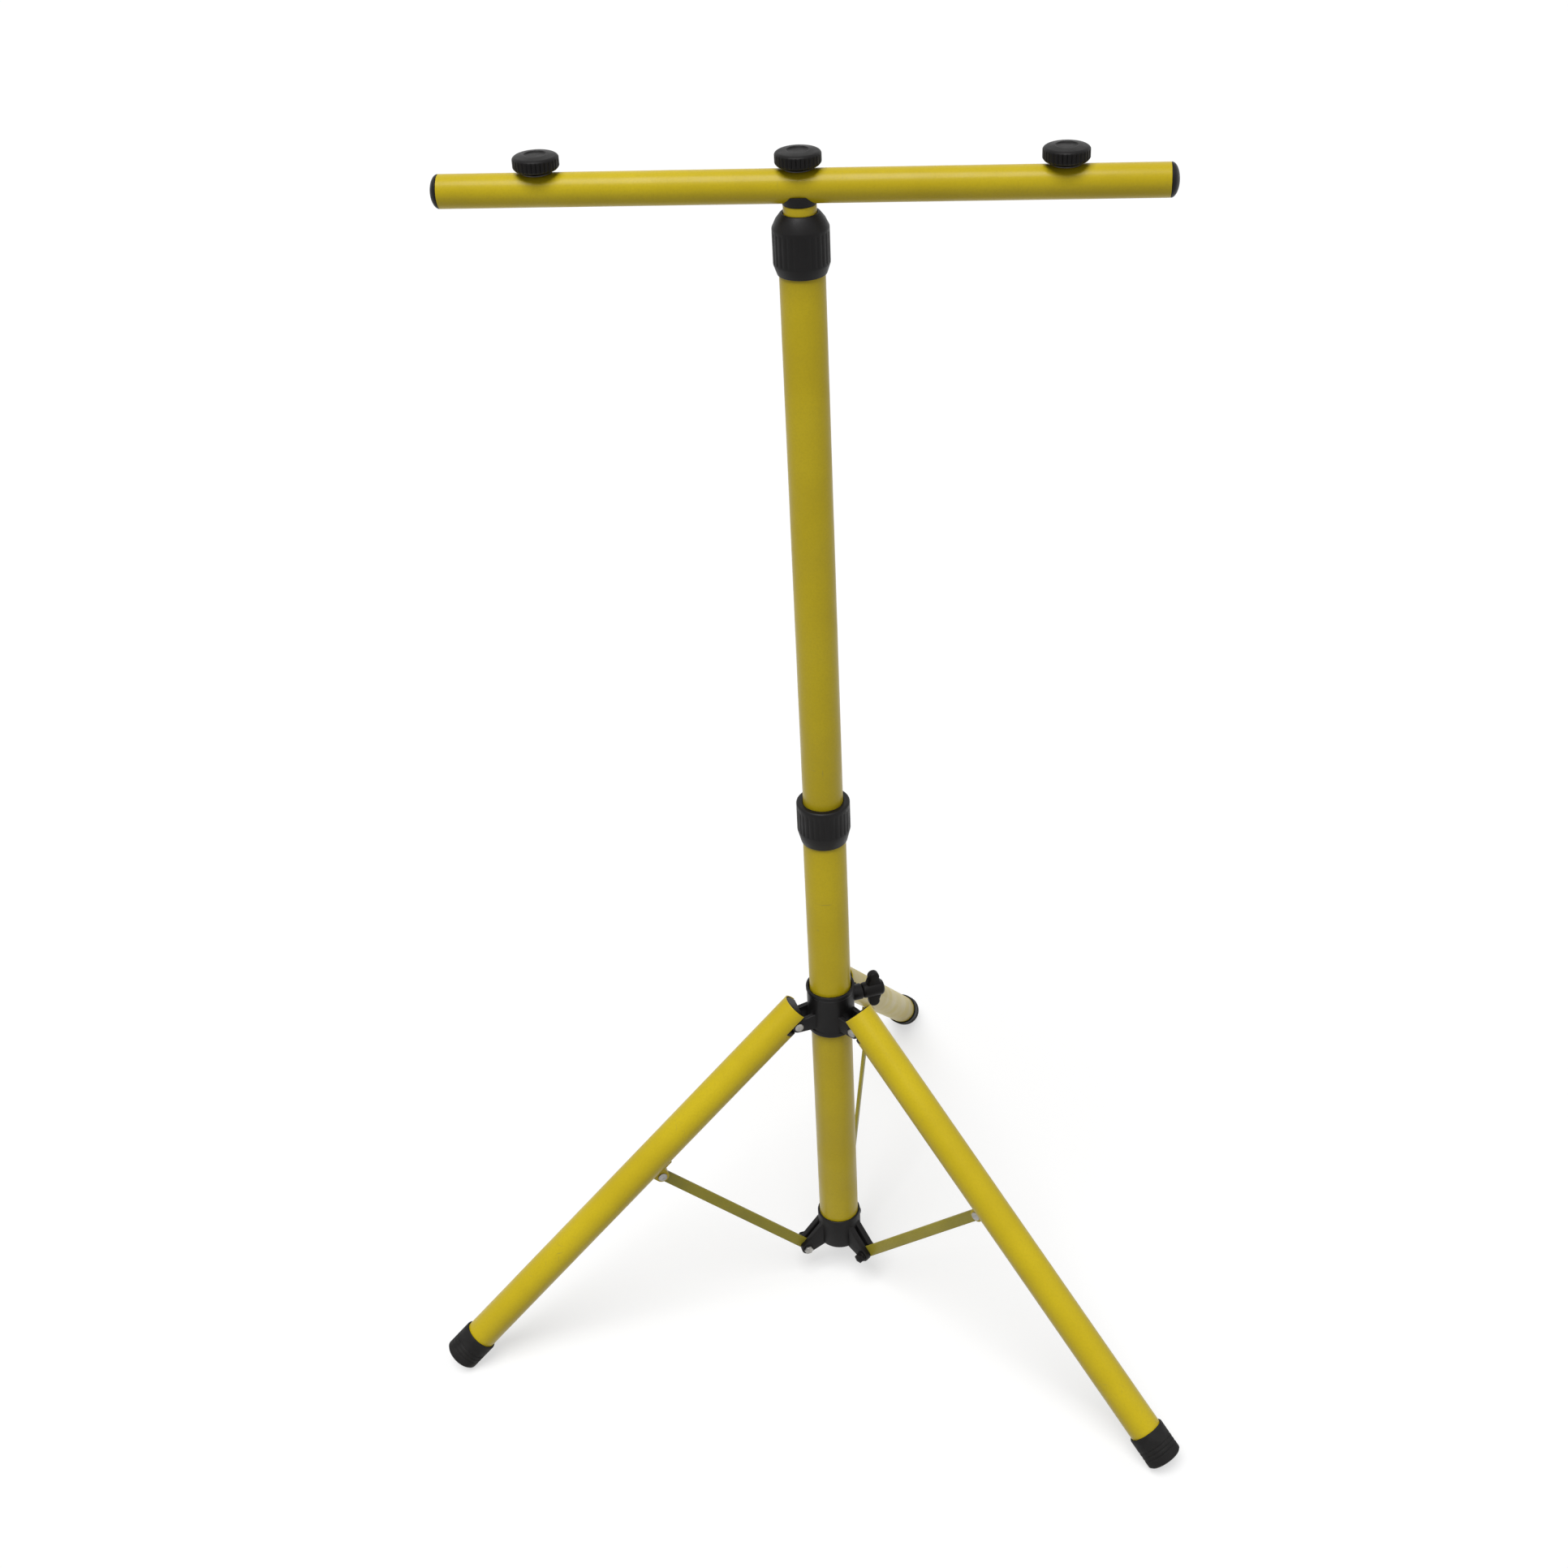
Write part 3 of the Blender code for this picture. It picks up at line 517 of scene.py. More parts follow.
dress(tube("coated_inner_tube", INNER_TUBE_R, INNER_TUBE_ENDS, MAST),
      "inner_tube", "mast_top", YELLOW_COAT)
keep("inner_tube_guide", BLACK_PLASTIC)

# The saddle. A black plug pressed into the top tube, with a cradle that the crossbar lies in.
# The long stud of the middle knob goes down through it into a steel nut underneath.
BAR_AXIS_Z, BAR_TUBE_R = 1101 * MM, 12.5 * MM
STUD_R, SADDLE_R, CRADLE_CUT = 4 * MM, 13 * MM, 30 * MM
ACROSS = Matrix.Rotation(pi / 2, 4, "Y")


def apply_booleans(piece, others, operation):
    """Adds the other shapes to the piece, or cuts them out of it, for good."""
    for other in others:
        step = piece.modifiers.new(operation.lower(), "BOOLEAN")
        step.operation, step.solver, step.object = operation, "EXACT", other
    bpy.context.view_layer.update()
    graph = bpy.context.evaluated_depsgraph_get()
    mesh = bpy.data.meshes.new_from_object(piece.evaluated_get(graph))
    piece.modifiers.clear()
    piece.data = mesh
    for other in others:
        bpy.data.objects.remove(other)
    smooth(mesh)
    return piece


def rod(radius, start, end, place, steps=64):
    """A plain round bar to cut with, along the Z of its place."""
    return turned("drill", [(0, end), (radius, end), (radius, start), (0, start)], place,
                  steps, edge=0)


under, lip = INNER_TUBE_ENDS[1] + GAP, BAR_AXIS_Z - 5.5 * MM
spigot, deep = INNER_TUBE_R - TUBE_WALL - GAP, 26 * MM
saddle_profile = [
    (SADDLE_R, lip), (SADDLE_R, under), (spigot, under), (spigot, under - deep),
    (STUD_R + GAP, under - deep), (STUD_R + GAP, lip),
]
saddle = turned("moulded_saddle", saddle_profile, MAST)
BAR = MAST @ Matrix.Translation((0, 0, BAR_AXIS_Z)) @ ACROSS
cradle = rod(BAR_TUBE_R + GAP, -CRADLE_CUT, CRADLE_CUT, BAR, steps=96)
apply_booleans(saddle, [cradle], "DIFFERENCE")
dress(saddle, "bar_saddle", "mast_top", BLACK_PLASTIC)

# The crossbar. 25 mm steel tube in yellow, drilled through the middle for the stud and through
# the upper wall for each lamp's stud. The nuts in it and in the saddle are zinc-plated steel.
BAR_HALF, LAMP_X = 266.5 * MM, 192 * MM
THROUGH, HOLE_START, HOLE_DEPTH = 20 * MM, 7.5 * MM, 10 * MM
ZINC, ZINC_DULL, ZINC_RUBBED = (0.38, 0.37, 0.35), (0.25, 0.245, 0.235), (0.55, 0.54, 0.52)


def plated_steel(name, bright, dull, rubbed):
    """Plated steel: cloudy, finely brushed, with duller patches where it has aged."""
    material, tree, shader = surface(name, specular=0.5)
    shader.inputs["Metallic"].default_value = 1.0
    aged = remap(tree, noise(tree, 150.0, 4.0, 0.6), 0.35, 0.7)
    colour = blend_colour(tree, aged, bright, dull)
    wear = use_group(tree, EDGE_WEAR, Width=0.0005, Breakup=500.0)
    colour = blend_colour(tree, wear, colour, rubbed)
    rough = remap(tree, noise(tree, 420.0, 3.0), 0.3, 0.7, 0.36, 0.54)
    brushed = use_group(tree, FINE_TEXTURE, Wave_Scale=1200.0, Grain_Scale=3800.0,
                        Grain_Share=0.7)
    finish_surface(tree, shader, colour, rough, brushed, strength=0.2, distance=0.06 * MM)
    return material


PLATED_STEEL = plated_steel("zinc_plated_steel", ZINC, ZINC_DULL, ZINC_RUBBED)

crossbar = tube("coated_crossbar", BAR_TUBE_R, (-BAR_HALF, BAR_HALF), BAR)
drills = [rod(STUD_R + GAP, BAR_AXIS_Z - THROUGH, BAR_AXIS_Z + THROUGH, MAST)]
for x in (-LAMP_X, LAMP_X):
    seat = MAST @ Matrix.Translation((x, 0, BAR_AXIS_Z + HOLE_START))
    drills.append(rod(STUD_R + GAP, 0, HOLE_DEPTH, seat))
apply_booleans(crossbar, drills, "DIFFERENCE")
dress(crossbar, "crossbar_tube", "mast_top", YELLOW_COAT)
for nut in ("centre_nut", "seat_nut_left", "seat_nut_right"):
    keep(nut, PLATED_STEEL)

# The plugs in the crossbar's ends are black plastic, domed, with a flange as wide as the tube
# and a spigot that grips inside it.
DOME, DOME_RINGS, PLUG_DEPTH = 6 * MM, 12, 14 * MM

plug_spigot = BAR_TUBE_R - TUBE_WALL - GAP
dome = [
    (BAR_TUBE_R * sin(pi / 2 * i / DOME_RINGS), GAP + DOME * cos(pi / 2 * i / DOME_RINGS))
    for i in range(DOME_RINGS + 1)
]
plug_profile = dome + [(plug_spigot, GAP), (plug_spigot, -PLUG_DEPTH), (0, -PLUG_DEPTH)]
for side, name in ((-1, "left"), (1, "right")):
    end = MAST @ Matrix.Translation((side * BAR_HALF, 0, BAR_AXIS_Z))
    plug = turned(f"domed_plug_{name}", plug_profile, end @ Matrix.Rotation(side * pi / 2, 4, "Y"))
    dress(plug, f"bar_plug_{name}", "mast_top", BLACK_PLASTIC)

# The three clamping knobs are moulded on their steel studs, with a fluted rim and a dished top,
# and each stands on a washer on the crown of the bar, coloured near black as partly painted shade
# where the knob shades the bar. The middle one holds the bar, and the lamps' brackets go under the
# outer two.
KNOB_R, KNOB_TOP = 17.2 * MM, 12 * MM
WASHER, WASHER_R = 1 * MM, 11.5 * MM
KNOB_BLACK, KNOB_RUBBED = (0.0058, 0.0052, 0.0052), (0.026, 0.024, 0.023)
# The washer colours are near black, partly painted shade from the knob over each washer.
WASHER_PAINTED_SHADE = (0.055, 0.052, 0.05), (0.035, 0.034, 0.033), (0.16, 0.155, 0.15)

KNOB_PLASTIC = moulded_plastic("knob_plastic", KNOB_BLACK, KNOB_RUBBED, roughness=0.42,
                               specular=0.13, grain=0.4)
SHADED_WASHER_STEEL = plated_steel("shaded_washer_steel", *WASHER_PAINTED_SHADE)
crown = BAR_AXIS_Z + BAR_TUBE_R + GAP
bore, thread = STUD_R + GAP, 8 * MM
knob_profile = [
    (0, KNOB_TOP - 0.5 * MM), (6.8 * MM, KNOB_TOP - 0.6 * MM), (7.6 * MM, KNOB_TOP - 0.3 * MM),
    (8.4 * MM, KNOB_TOP + 0.4 * MM), (KNOB_R - 2 * MM, KNOB_TOP - 0.6 * MM),
    (KNOB_R - 0.6 * MM, KNOB_TOP - 1.5 * MM),
    *stations(KNOB_R, 3.4 * MM, KNOB_TOP - 2.4 * MM, run=0.8 * MM),
    (KNOB_R - 1.6 * MM, 1.4 * MM), (10.2 * MM, 0.8 * MM), (10.2 * MM, 0), (bore, 0),
    (bore, thread), (0, thread),
]
knob_grip = grip(32, 0.8 * MM, 2 * MM, KNOB_TOP - 1.8 * MM, least_radius=14 * MM)
washer_profile = [(WASHER_R, WASHER), (WASHER_R, 0), (bore, 0), (bore, WASHER)]
for x, name in ((-LAMP_X, "lamp_knob_left"), (0, "centre_knob"), (LAMP_X, "lamp_knob_right")):
    on_bar = MAST @ Matrix.Translation((x, 0, crown))
    # The washer is given the near-black steel: partly painted shade under the knob.
    washer = turned(f"flat_{name}_washer", washer_profile, on_bar)
    dress(washer, name.replace("knob", "washer"), "mast_top", SHADED_WASHER_STEEL)
    seat = on_bar @ Matrix.Translation((0, 0, WASHER + GAP))
    knob = turned(f"fluted_{name}", knob_profile, seat, steps=192, edge=0.7 * MM, dent=knob_grip)
    dress(knob, name, name, KNOB_PLASTIC)
    keep(name + "_stud", PLATED_STEEL)

# The hub is a black moulding that slides on the bottom tube. It has a pair of ears for each
# leg, riveted through with a steel pin, and a boss on one side for the clamping screw.
LEG_AZIMUTHS = (202.5, 322.5, 82.5)
HUB_PIVOT = (35 * MM, 326.8 * MM)
HUB_R, HUB_BORE_R, HUB_ENDS = 22.5 * MM, 20.3 * MM, (313.5 * MM, 360 * MM)
TONGUE, HUB_SLOT, HUB_EAR, EAR_R = 12.4 * MM, 13.4 * MM, 4.5 * MM, 6.5 * MM
HUB_STACK = HUB_SLOT + 2 * HUB_EAR
PIN_R, SCREW_R = 2.5 * MM, 3 * MM
PIN_HOLE_R, TONGUE_HOLE_R = PIN_R + GAP, PIN_R + 0.7 * MM
CLAMP_AZIMUTH, CLAMP_Z, BOSS_R, BOSS_END = 22.5, 343 * MM, 7.5 * MM, 30 * MM
EAR_ROOT = 17.5 * MM


def lug_place(azimuth, pivot, tilt=0):
    """X points away from the mast and tilts up by tilt degrees, and Z is level."""
    radius, height = pivot
    return (MAST @ Matrix.Rotation(radians(azimuth), 4, "Z")
            @ Matrix.Translation((radius, 0, height)) @ Matrix.Rotation(pi / 2, 4, "X")
            @ Matrix.Rotation(radians(tilt), 4, "Z"))


def arc(centre, radius, start, end, steps):
    """Points on a circle from one angle to another, in degrees, both ends included."""
    turns = [radians(start + (end - start) * i / steps) for i in range(steps + 1)]
    return [(centre[0] + radius * cos(t), centre[1] + radius * sin(t)) for t in turns]


def slab(name, outline, thickness, place, edge=0.5 * MM, segments=3):
    """A flat piece cut to an outline, the edges of its two faces rounded by this much."""
    shape = bmesh.new()
    corners = [shape.verts.new((x, y, -thickness / 2)) for x, y in outline]
    base = shape.faces.new(corners)
    made = bmesh.ops.extrude_face_region(shape, geom=[base])
    lifted = [v for v in made["geom"] if isinstance(v, bmesh.types.BMVert)]
    bmesh.ops.translate(shape, verts=lifted, vec=(0, 0, thickness))
    bmesh.ops.recalc_face_normals(shape, faces=shape.faces)
    if edge:
        rims = [e for e in shape.edges if abs(e.verts[0].co.z - e.verts[1].co.z) < TINY]
        bmesh.ops.bevel(shape, geom=rims, offset=edge, segments=segments, profile=0.5,
                        affect="EDGES", clamp_overlap=True)
    return solid(name, shape, place)


def moved(place, x, y, z=0):
    """The place shifted along its own axes."""
    return place @ Matrix.Translation((x, y, z))


low, high = HUB_ENDS
waist, band = HUB_R - 0.7 * MM, 4 * MM
hub_profile = [
    (0, high), (HUB_R, high), (HUB_R, high - band), (waist, high - band - MM),
    (waist, low + band + MM), (HUB_R, low + band), (HUB_R, low), (0, low),
]
hub = turned("moulded_hub", hub_profile, MAST, edge=MM)
root = EAR_ROOT - HUB_PIVOT[0]
ear_outline = arc((0, 0), EAR_R, -90, 75, 24) + [(root, 10 * MM), (root, -EAR_R)]
additions, cuts = [], []
for azimuth in LEG_AZIMUTHS:
    lug = lug_place(azimuth, HUB_PIVOT)
    for side in (-1, 1):
        offset = side * (HUB_SLOT + HUB_EAR) / 2
        additions.append(slab("ear", ear_outline, HUB_EAR, moved(lug, 0, 0, offset),
                              edge=0.7 * MM))
    cuts.append(rod(PIN_HOLE_R, -THROUGH, THROUGH, lug, steps=48))
clamp_side = MAST @ Matrix.Rotation(radians(CLAMP_AZIMUTH), 4, "Z")
CLAMP = moved(clamp_side, 0, 0, CLAMP_Z) @ ACROSS
boss_profile = [(0, BOSS_END), (BOSS_R, BOSS_END), (BOSS_R, 20 * MM), (0, 20 * MM)]
additions.append(turned("boss", boss_profile, CLAMP, steps=64, edge=0.8 * MM))
cuts.append(rod(HUB_BORE_R, low - 5 * MM, high + 5 * MM, MAST, steps=96))
cuts.append(rod(SCREW_R + GAP, 16 * MM, BOSS_END + 6 * MM, CLAMP, steps=48))
apply_booleans(hub, additions, "UNION")
apply_booleans(hub, cuts, "DIFFERENCE")
dress(hub, "hub_collar", "hub", BLACK_PLASTIC)


def riveted_pin(name, width, place):
    """A steel pin with a domed head on each face of what it joins."""
    face, head, brim, rim = width / 2 + GAP, 1.8 * MM, 0.4 * MM, 4.4 * MM
    cap = [(rim * sin(radians(a)), brim + (head - brim) * cos(radians(a)))
           for a in range(0, 91, 18)]
    upper = [(r, face + z) for r, z in cap] + [(rim, face), (PIN_R, face)]
    profile = upper + [(r, -z) for r, z in reversed(upper)]
    return turned(name, profile, place, steps=48, edge=0.15 * MM)


for number, azimuth in enumerate(LEG_AZIMUTHS, 1):
    pin = riveted_pin(f"riveted_leg_pin_{number}", HUB_STACK, lug_place(azimuth, HUB_PIVOT))
    dress(pin, f"leg_pin_{number}", "hub", PLATED_STEEL)

# The wing knob on the boss. It is moulded in black on a zinc-plated screw, and its two wings are
# rounded for thumb and finger. Tightened, it holds the hub at its height on the mast.
LOBE_CENTRE, LOBE_R, WING_THICKNESS = (11.5 * MM, 14 * MM), 5.2 * MM, 8 * MM
CORE_R, CORE_END = 7.5 * MM, 21 * MM

seat = BOSS_END + 2 * GAP
wing_lobe = arc(LOBE_CENTRE, LOBE_R, -15, 195, 24)
upper_wing = [(19 * MM, 6 * MM)] + wing_lobe + [(4 * MM, 6 * MM)]
lower_wing = [(x, -y) for x, y in reversed(upper_wing)]
wing_place = moved(clamp_side, seat, 0, CLAMP_Z) @ Matrix.Rotation(pi / 2, 4, "X")
wing = slab("moulded_wing_knob", upper_wing + lower_wing, WING_THICKNESS, wing_place,
            edge=2 * MM, segments=5)
core_profile = [
    (0, CORE_END), (CORE_R - 2 * MM, CORE_END), (CORE_R, CORE_END - 2 * MM), (CORE_R, 2 * MM),
    (CORE_R - MM, 0), (0, 0),
]
core_place = moved(CLAMP, 0, 0, seat)
core = turned("core", core_profile, core_place, steps=64, edge=1.2 * MM)
apply_booleans(wing, [core], "UNION")
apply_booleans(wing, [rod(SCREW_R + GAP, -MM, 12 * MM, core_place, steps=48)], "DIFFERENCE")
dress(wing, "wing_knob", "wing_knob", KNOB_PLASTIC)
keep("clamp_screw", PLATED_STEEL)

# The three legs are 30 mm steel tube in yellow, cut away beneath where the hub's ears swing. A
# black plug fills each upper end, and its tongue turns on the hub's pin. A rubber cap covers
# each lower end, worn flat on the floor.
LEG_SLOPE, LEG_AXIS_RISE = 42.88, 8.8 * MM
LEG_TUBE_R, LEG_TOP, LEG_END = 15 * MM, 11.6 * MM, 476.1 * MM
LEG_HOOD, HOOD_UNDER = 12 * MM, 7.3 * MM
CLEAR = 4 * LEG_TUBE_R
RUBBER_BLACK, RUBBER_DUSTY, DUST_HEIGHT = (0.0125, 0.012, 0.0118), (0.075, 0.07, 0.062), 16 * MM
GROUND, GROUND_DEPTH = [(-0.7, -0.7), (0.7, -0.7), (0.7, 0.7), (-0.7, 0.7)], 0.1


def moulded_rubber(name, colour, dusty):
    """Matt rubber, bloomed grey in patches, with dust ground in where it meets the floor."""
    material, tree, shader = surface(name, specular=0.16)
    bloom = remap(tree, noise(tree, 45.0, 5.0, 0.65), 0.4, 0.75, 0.0, 0.35)
    shade = blend_colour(tree, bloom, colour, tuple(2.2 * c for c in colour))
    place = add(tree, "ShaderNodeTexCoord").outputs["Object"]
    height = add(tree, "ShaderNodeSeparateXYZ", {0: place}).outputs["Z"]
    low_down = remap(tree, height, DUST_HEIGHT, 0.0)
    dust = combine(tree, "MULTIPLY", low_down, remap(tree, noise(tree, 170.0, 5.0), 0.35, 0.7))
    shade = blend_colour(tree, combine(tree, "MULTIPLY", dust, 0.7), shade, dusty)
    wear = use_group(tree, EDGE_WEAR, Width=0.001, Breakup=260.0)
    shade = blend_colour(tree, combine(tree, "MULTIPLY", wear, 0.5), shade, dusty)
    rough = remap(tree, noise(tree, 95.0, 3.0), 0.3, 0.7, 0.62, 0.82)
    skin = use_group(tree, FINE_TEXTURE, Wave_Scale=600.0, Grain_Scale=2200.0, Grain_Share=0.9)
    finish_surface(tree, shader, shade, rough, skin, strength=0.4, distance=0.14 * MM)
    return material


RUBBER = moulded_rubber("black_rubber", RUBBER_BLACK, RUBBER_DUSTY)
tube_end = LEG_END - 5 * MM
leg_spigot = LEG_TUBE_R - TUBE_WALL - GAP
face = EAR_R + 0.7 * MM
plug_end = LEG_TOP + 16 * MM
plug_profile = [
    (0, plug_end), (leg_spigot, plug_end), (leg_spigot, MM - LEG_HOOD),
    (leg_spigot - MM, -LEG_HOOD), (0, -LEG_HOOD),
]
rim_profile = [
    (0, LEG_TOP - GAP), (LEG_TUBE_R, LEG_TOP - GAP), (LEG_TUBE_R, face + MM),
    (LEG_TUBE_R - MM, face), (0, face),
]
tongue_outline = arc((0, 0), EAR_R, 180, 270, 16) + [
    (face + MM, -EAR_R), (face + MM, 13 * MM), (-EAR_R, 13 * MM),
]


def swing_room(leg, reach, bottom, top):
    """A block to cut with, that clears the leg's end up to this far past the pivot."""
    outline = [(-CLEAR, bottom), (reach, bottom), (reach, top), (-CLEAR, top)]
    return slab("room", outline, CLEAR, leg, edge=0)


FOOT_RINGS = (8 * MM, 12 * MM, 16 * MM)
RING_WIDTH, RING_DEPTH, RING_EDGE = 1.8 * MM, 0.6 * MM, 0.5 * MM
foot_rim, foot_lip = LEG_TUBE_R + 1.8 * MM, LEG_END - 31 * MM
foot_groove = foot_rim - RING_DEPTH
foot_bore, foot_floor = LEG_TUBE_R + GAP, tube_end + GAP
foot_profile = [(0, LEG_END), (foot_rim - 2 * MM, LEG_END), (foot_rim, LEG_END - 2 * MM)]
for ring in FOOT_RINGS:
    top, bottom = LEG_END - ring, LEG_END - ring - RING_WIDTH
    foot_profile += [
        (foot_rim, top), (foot_groove, top - RING_EDGE), (foot_groove, bottom + RING_EDGE),
        (foot_rim, bottom),
    ]
foot_profile += [
    (foot_rim, foot_lip + MM), (foot_groove, foot_lip), (foot_bore, foot_lip),
    (foot_bore, foot_floor), (0, foot_floor),
]
for number, azimuth in enumerate(LEG_AZIMUTHS, 1):
    leg = lug_place(azimuth, HUB_PIVOT, -LEG_SLOPE)
    shaft_axis = moved(leg, 0, LEG_AXIS_RISE) @ ACROSS
    shaft = tube(f"coated_leg_tube_{number}", LEG_TUBE_R, (-LEG_HOOD, tube_end), shaft_axis)
    apply_booleans(shaft, [swing_room(leg, LEG_TOP, -CLEAR, HOOD_UNDER)], "DIFFERENCE")
    dress(shaft, f"leg_tube_{number}", f"leg_{number}", YELLOW_COAT)
    plug = turned(f"moulded_leg_plug_{number}", plug_profile, shaft_axis, edge=0.5 * MM)
    apply_booleans(plug, [swing_room(leg, face, -CLEAR, HOOD_UNDER)], "DIFFERENCE")
    rim = turned("rim", rim_profile, shaft_axis, edge=0.5 * MM)
    apply_booleans(rim, [swing_room(leg, CLEAR, HOOD_UNDER - GAP, CLEAR)], "DIFFERENCE")
    tongue = slab("tongue", tongue_outline, TONGUE, leg)
    apply_booleans(plug, [rim, tongue], "UNION")
    apply_booleans(plug, [rod(TONGUE_HOLE_R, -THROUGH, THROUGH, leg, steps=48)], "DIFFERENCE")
    dress(plug, f"leg_plug_{number}", f"leg_{number}", BLACK_PLASTIC)
    foot = turned(f"ringed_foot_cap_{number}", foot_profile, shaft_axis, edge=0.5 * MM)
    under_floor = Matrix.Translation((0, 0, -GROUND_DEPTH / 2))
    ground = slab("ground", GROUND, GROUND_DEPTH, under_floor, edge=0)
    apply_booleans(foot, [ground], "DIFFERENCE")
    dress(foot, f"foot_cap_{number}", f"leg_{number}", RUBBER)

# Under each leg a folded steel bracket, coated with it, is welded on and holds the upper end of
# a strut on a riveted pin.
STRUT_PIN = (203.3 * MM, -13 * MM)
BRACKET_WIDTH, BRACKET_BACK, SLOT_REACH = 9.2 * MM, 18 * MM, 40 * MM
STRUT_HALF_WIDTH, STRUT_THICKNESS = 5.5 * MM, 3 * MM

x, y = STRUT_PIN
back, under, top = x - BRACKET_BACK, LEG_AXIS_RISE - 17.5 * MM, LEG_AXIS_RISE - 13 * MM
bracket_outline = arc((x, y), EAR_R, -180, 0, 24) + [
    (x + EAR_R, top), (back, top), (back, under), (x - EAR_R - 2 * MM, under),
]
slot_width = STRUT_THICKNESS + 2 * GAP
slot_start = x - STRUT_HALF_WIDTH - GAP
slot_end, slot_low, slot_high = slot_start + SLOT_REACH, y - THROUGH, y + THROUGH
slot_outline = [
    (slot_start, slot_low), (slot_end, slot_low), (slot_end, slot_high), (slot_start, slot_high),
]
for number, azimuth in enumerate(LEG_AZIMUTHS, 1):
    leg = lug_place(azimuth, HUB_PIVOT, -LEG_SLOPE)
    bracket = slab(f"coated_strut_bracket_{number}", bracket_outline, BRACKET_WIDTH, leg)
    along_leg = moved(leg, x, LEG_AXIS_RISE) @ ACROSS
    cuts = [
        rod(LEG_TUBE_R + GAP, -SLOT_REACH, SLOT_REACH, along_leg, steps=96),
        slab("slot", slot_outline, slot_width, leg, edge=0),
        rod(PIN_HOLE_R, -THROUGH, THROUGH, moved(leg, x, y), steps=48),
    ]
    apply_booleans(bracket, cuts, "DIFFERENCE")
    dress(bracket, f"strut_bracket_{number}", f"leg_{number}", YELLOW_COAT)
    pin = riveted_pin(f"riveted_bracket_pin_{number}", BRACKET_WIDTH, moved(leg, x, y))
    dress(pin, f"bracket_pin_{number}", f"leg_{number}", PLATED_STEEL)

# The spider is the black moulded foot of the mast. Its cup holds the bottom tube, and each of
# its three pairs of ears takes the lower end of a strut on a bolt with a closed cap nut.
SPIDER_PIVOT = (35.8 * MM, 36.3 * MM)
SPIDER_R, SPIDER_ENDS, SPIDER_EAR = 21 * MM, (38 * MM, 74 * MM), 6 * MM
SPIDER_STACK = STRUT_THICKNESS + 2 * GAP + 2 * SPIDER_EAR

low, high = SPIDER_ENDS
spider_profile = [
    (0, high), (SPIDER_R, high), (SPIDER_R, low + 2 * MM), (SPIDER_R - 2 * MM, low), (0, low),
]
spider = turned("moulded_spider", spider_profile, MAST, edge=MM)
root = EAR_ROOT - SPIDER_PIVOT[0]
ear_outline = arc((0, 0), EAR_R, -90, 60, 24) + [(root, 31 * MM), (root, 2 * MM)]
additions, cuts = [], []
for azimuth in LEG_AZIMUTHS:
    lug = lug_place(azimuth, SPIDER_PIVOT)
    for side in (-1, 1):
        offset = side * (slot_width + SPIDER_EAR) / 2
        additions.append(slab("ear", ear_outline, SPIDER_EAR, moved(lug, 0, 0, offset),
                              edge=0.8 * MM))
    cuts.append(rod(PIN_HOLE_R, -THROUGH, THROUGH, lug, steps=48))
socket_floor = BASE_TUBE_ENDS[0] - GAP
cuts.append(rod(BASE_TUBE_R + GAP, socket_floor, high + 10 * MM, MAST, steps=96))
apply_booleans(spider, additions, "UNION")
apply_booleans(spider, cuts, "DIFFERENCE")
dress(spider, "spider", "base", BLACK_PLASTIC)

ear_face = SPIDER_STACK / 2 + GAP
bolt_end = ear_face + 4 * MM
head_r, head_end = 4.6 * MM, -ear_face - 2.6 * MM
shank_profile = [(0, bolt_end), (PIN_R, bolt_end), (PIN_R, -ear_face - MM), (0, -ear_face - MM)]
head_profile = [
    (0, -ear_face), (head_r, -ear_face), (head_r, head_end + 0.6 * MM), (4 * MM, head_end),
    (0, head_end),
]
nut_top, nut_r = bolt_end + GAP, 5 * MM
nut_profile = [
    (0, nut_top + MM), (nut_r - 0.4 * MM, nut_top + MM), (nut_r, nut_top + 0.4 * MM),
    (nut_r, ear_face + MM), (0, ear_face + MM),
]
flange_r, flange_top = 5.2 * MM, ear_face + 1.4 * MM
flange_profile = [(0, flange_top), (flange_r, flange_top), (flange_r, ear_face), (0, ear_face)]
cap_r, cap_rise = 4 * MM, 2.4 * MM
cap_profile = [(cap_r * sin(radians(a)), nut_top + cap_rise * cos(radians(a)))
               for a in range(0, 91, 10)] + [(cap_r, nut_top - MM), (0, nut_top - MM)]
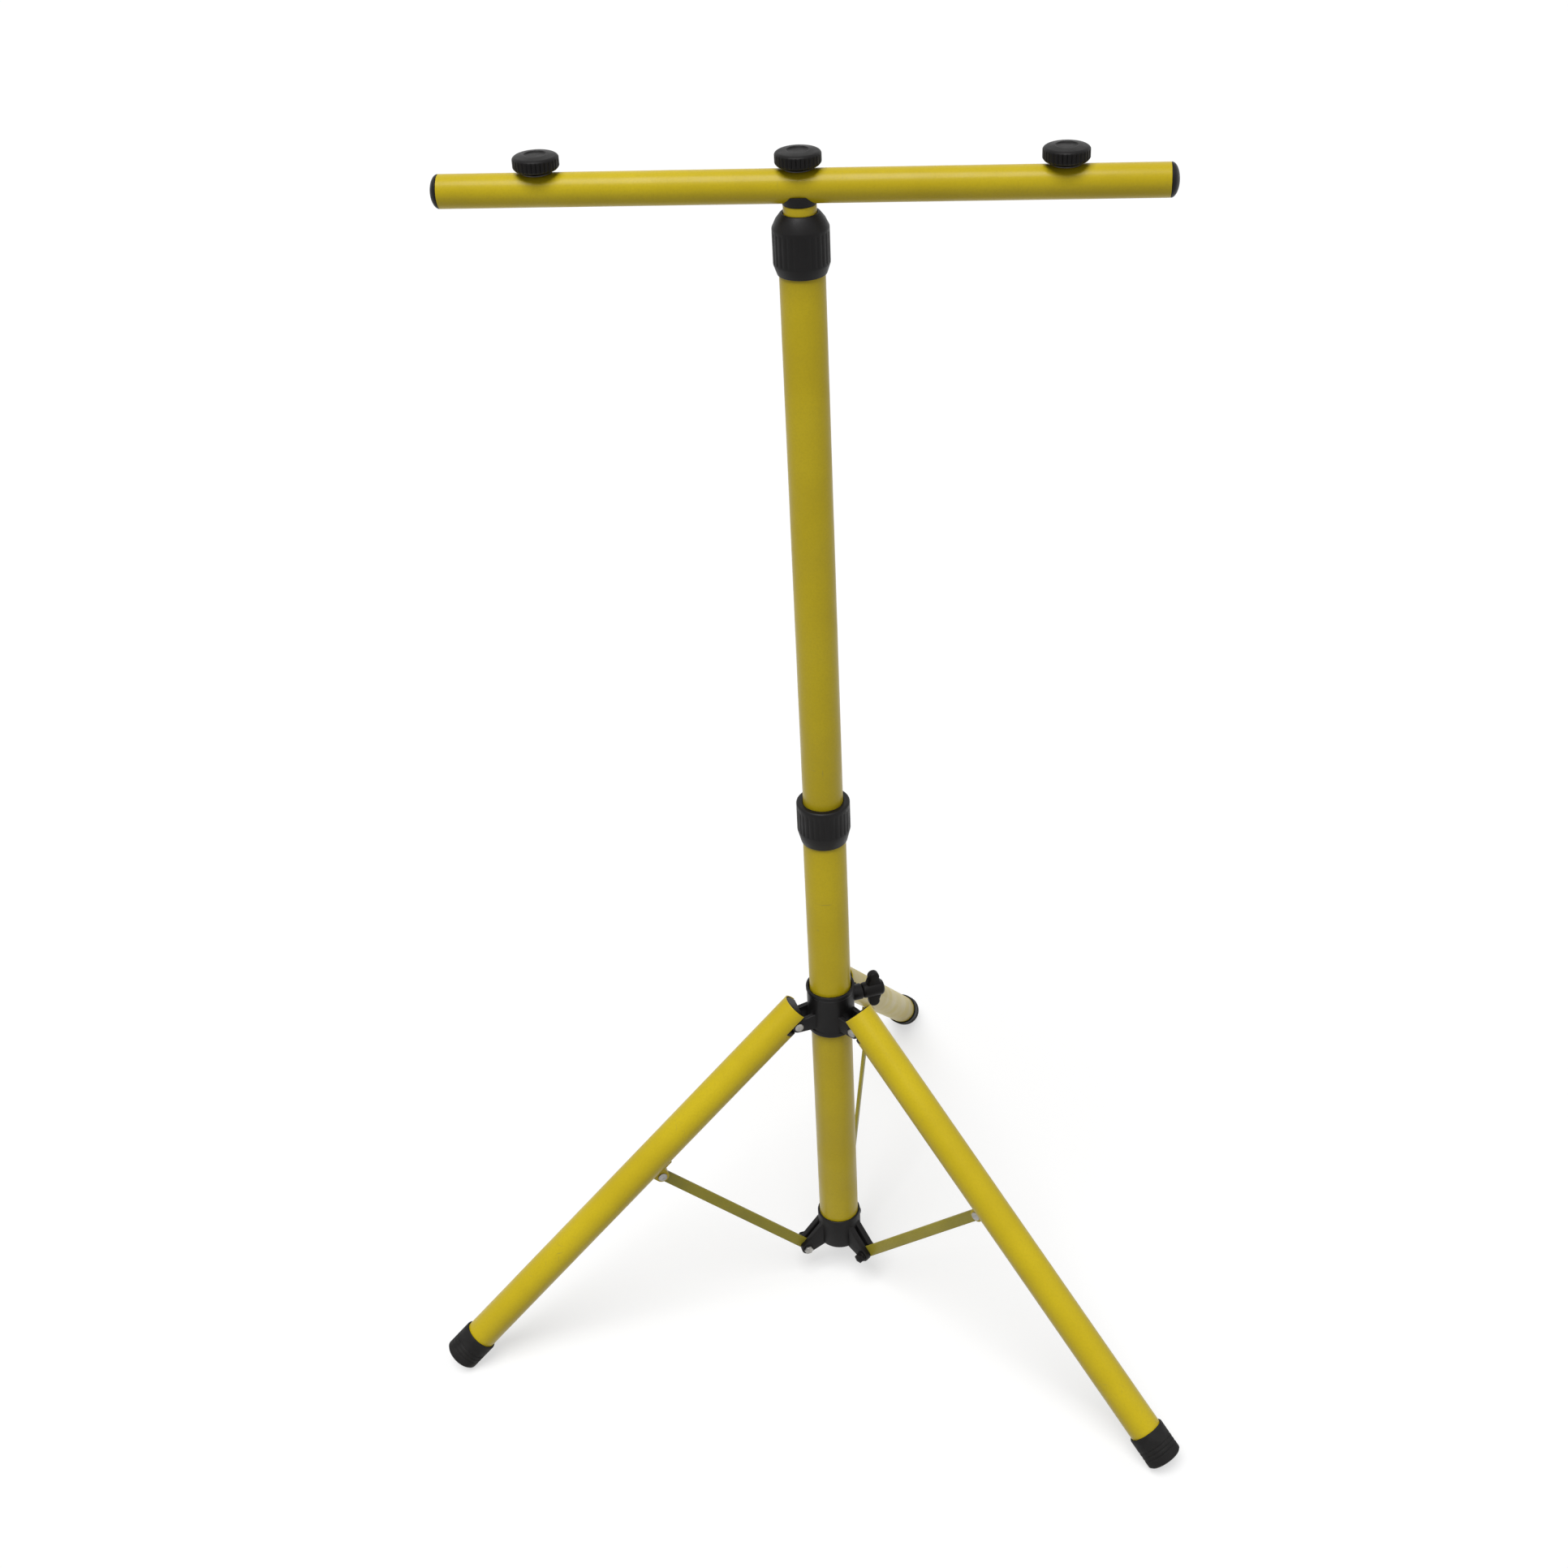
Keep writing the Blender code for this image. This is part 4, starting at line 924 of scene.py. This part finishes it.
for number, azimuth in enumerate(LEG_AZIMUTHS, 1):
    lug = lug_place(azimuth, SPIDER_PIVOT)
    bolt = turned(f"hex_spider_bolt_{number}", shank_profile, lug, steps=48)
    apply_booleans(bolt, [turned("head", head_profile, lug, steps=6)], "UNION")
    dress(bolt, f"spider_bolt_{number}", "base", PLATED_STEEL)
    nut = turned(f"capped_spider_nut_{number}", nut_profile, lug, steps=6, edge=0.2 * MM)
    closed_end = [
        turned("flange", flange_profile, lug, steps=48),
        turned("cap", cap_profile, lug, steps=48, edge=0),
    ]
    apply_booleans(nut, closed_end, "UNION")
    apply_booleans(nut, [rod(PIN_R + GAP, ear_face - MM, nut_top, lug, steps=48)], "DIFFERENCE")
    dress(nut, f"spider_nut_{number}", "base", KNOB_PLASTIC)

# The struts are flat steel bars in the legs' yellow coat, painted darker here for painted shade
# under the legs together with wear, and punched near each rounded end. They run from the spider to
# the brackets and set how far the legs spread.
# Both strut colours are a darker copy of the yellow: painted shade, together with wear.
STRUT_SHADED_BRIGHT, STRUT_SHADED_DEEP = (0.40, 0.335, 0.030), (0.27, 0.235, 0.028)

STRUT_SHADED_COAT = powder_coat("strut_shaded_coat", STRUT_SHADED_BRIGHT, STRUT_SHADED_DEEP, roughness=0.44, scratch=0.8,
                         width=0.0006)
upper_end = lug_place(0, HUB_PIVOT, -LEG_SLOPE) @ Vector((*STRUT_PIN, 0))
lower_end = lug_place(0, SPIDER_PIVOT) @ Vector((0, 0, 0))
rise = upper_end.z - lower_end.z
run = upper_end.x - lower_end.x
strut_length = hypot(run, rise)
strut_slope = 180 / pi * Vector((1, 0)).angle(Vector((run, rise)))
strut_outline = (arc((0, 0), STRUT_HALF_WIDTH, 90, 270, 24)
                 + arc((strut_length, 0), STRUT_HALF_WIDTH, -90, 90, 24))
for number, azimuth in enumerate(LEG_AZIMUTHS, 1):
    line = lug_place(azimuth, SPIDER_PIVOT, strut_slope)
    strut = slab(f"punched_strut_{number}", strut_outline, STRUT_THICKNESS, line)
    holes = [rod(PIN_HOLE_R, -THROUGH, THROUGH, moved(line, end, 0), steps=48)
             for end in (0, strut_length)]
    apply_booleans(strut, holes, "DIFFERENCE")
    dress(strut, f"strut_{number}", f"strut_{number}", STRUT_SHADED_COAT)
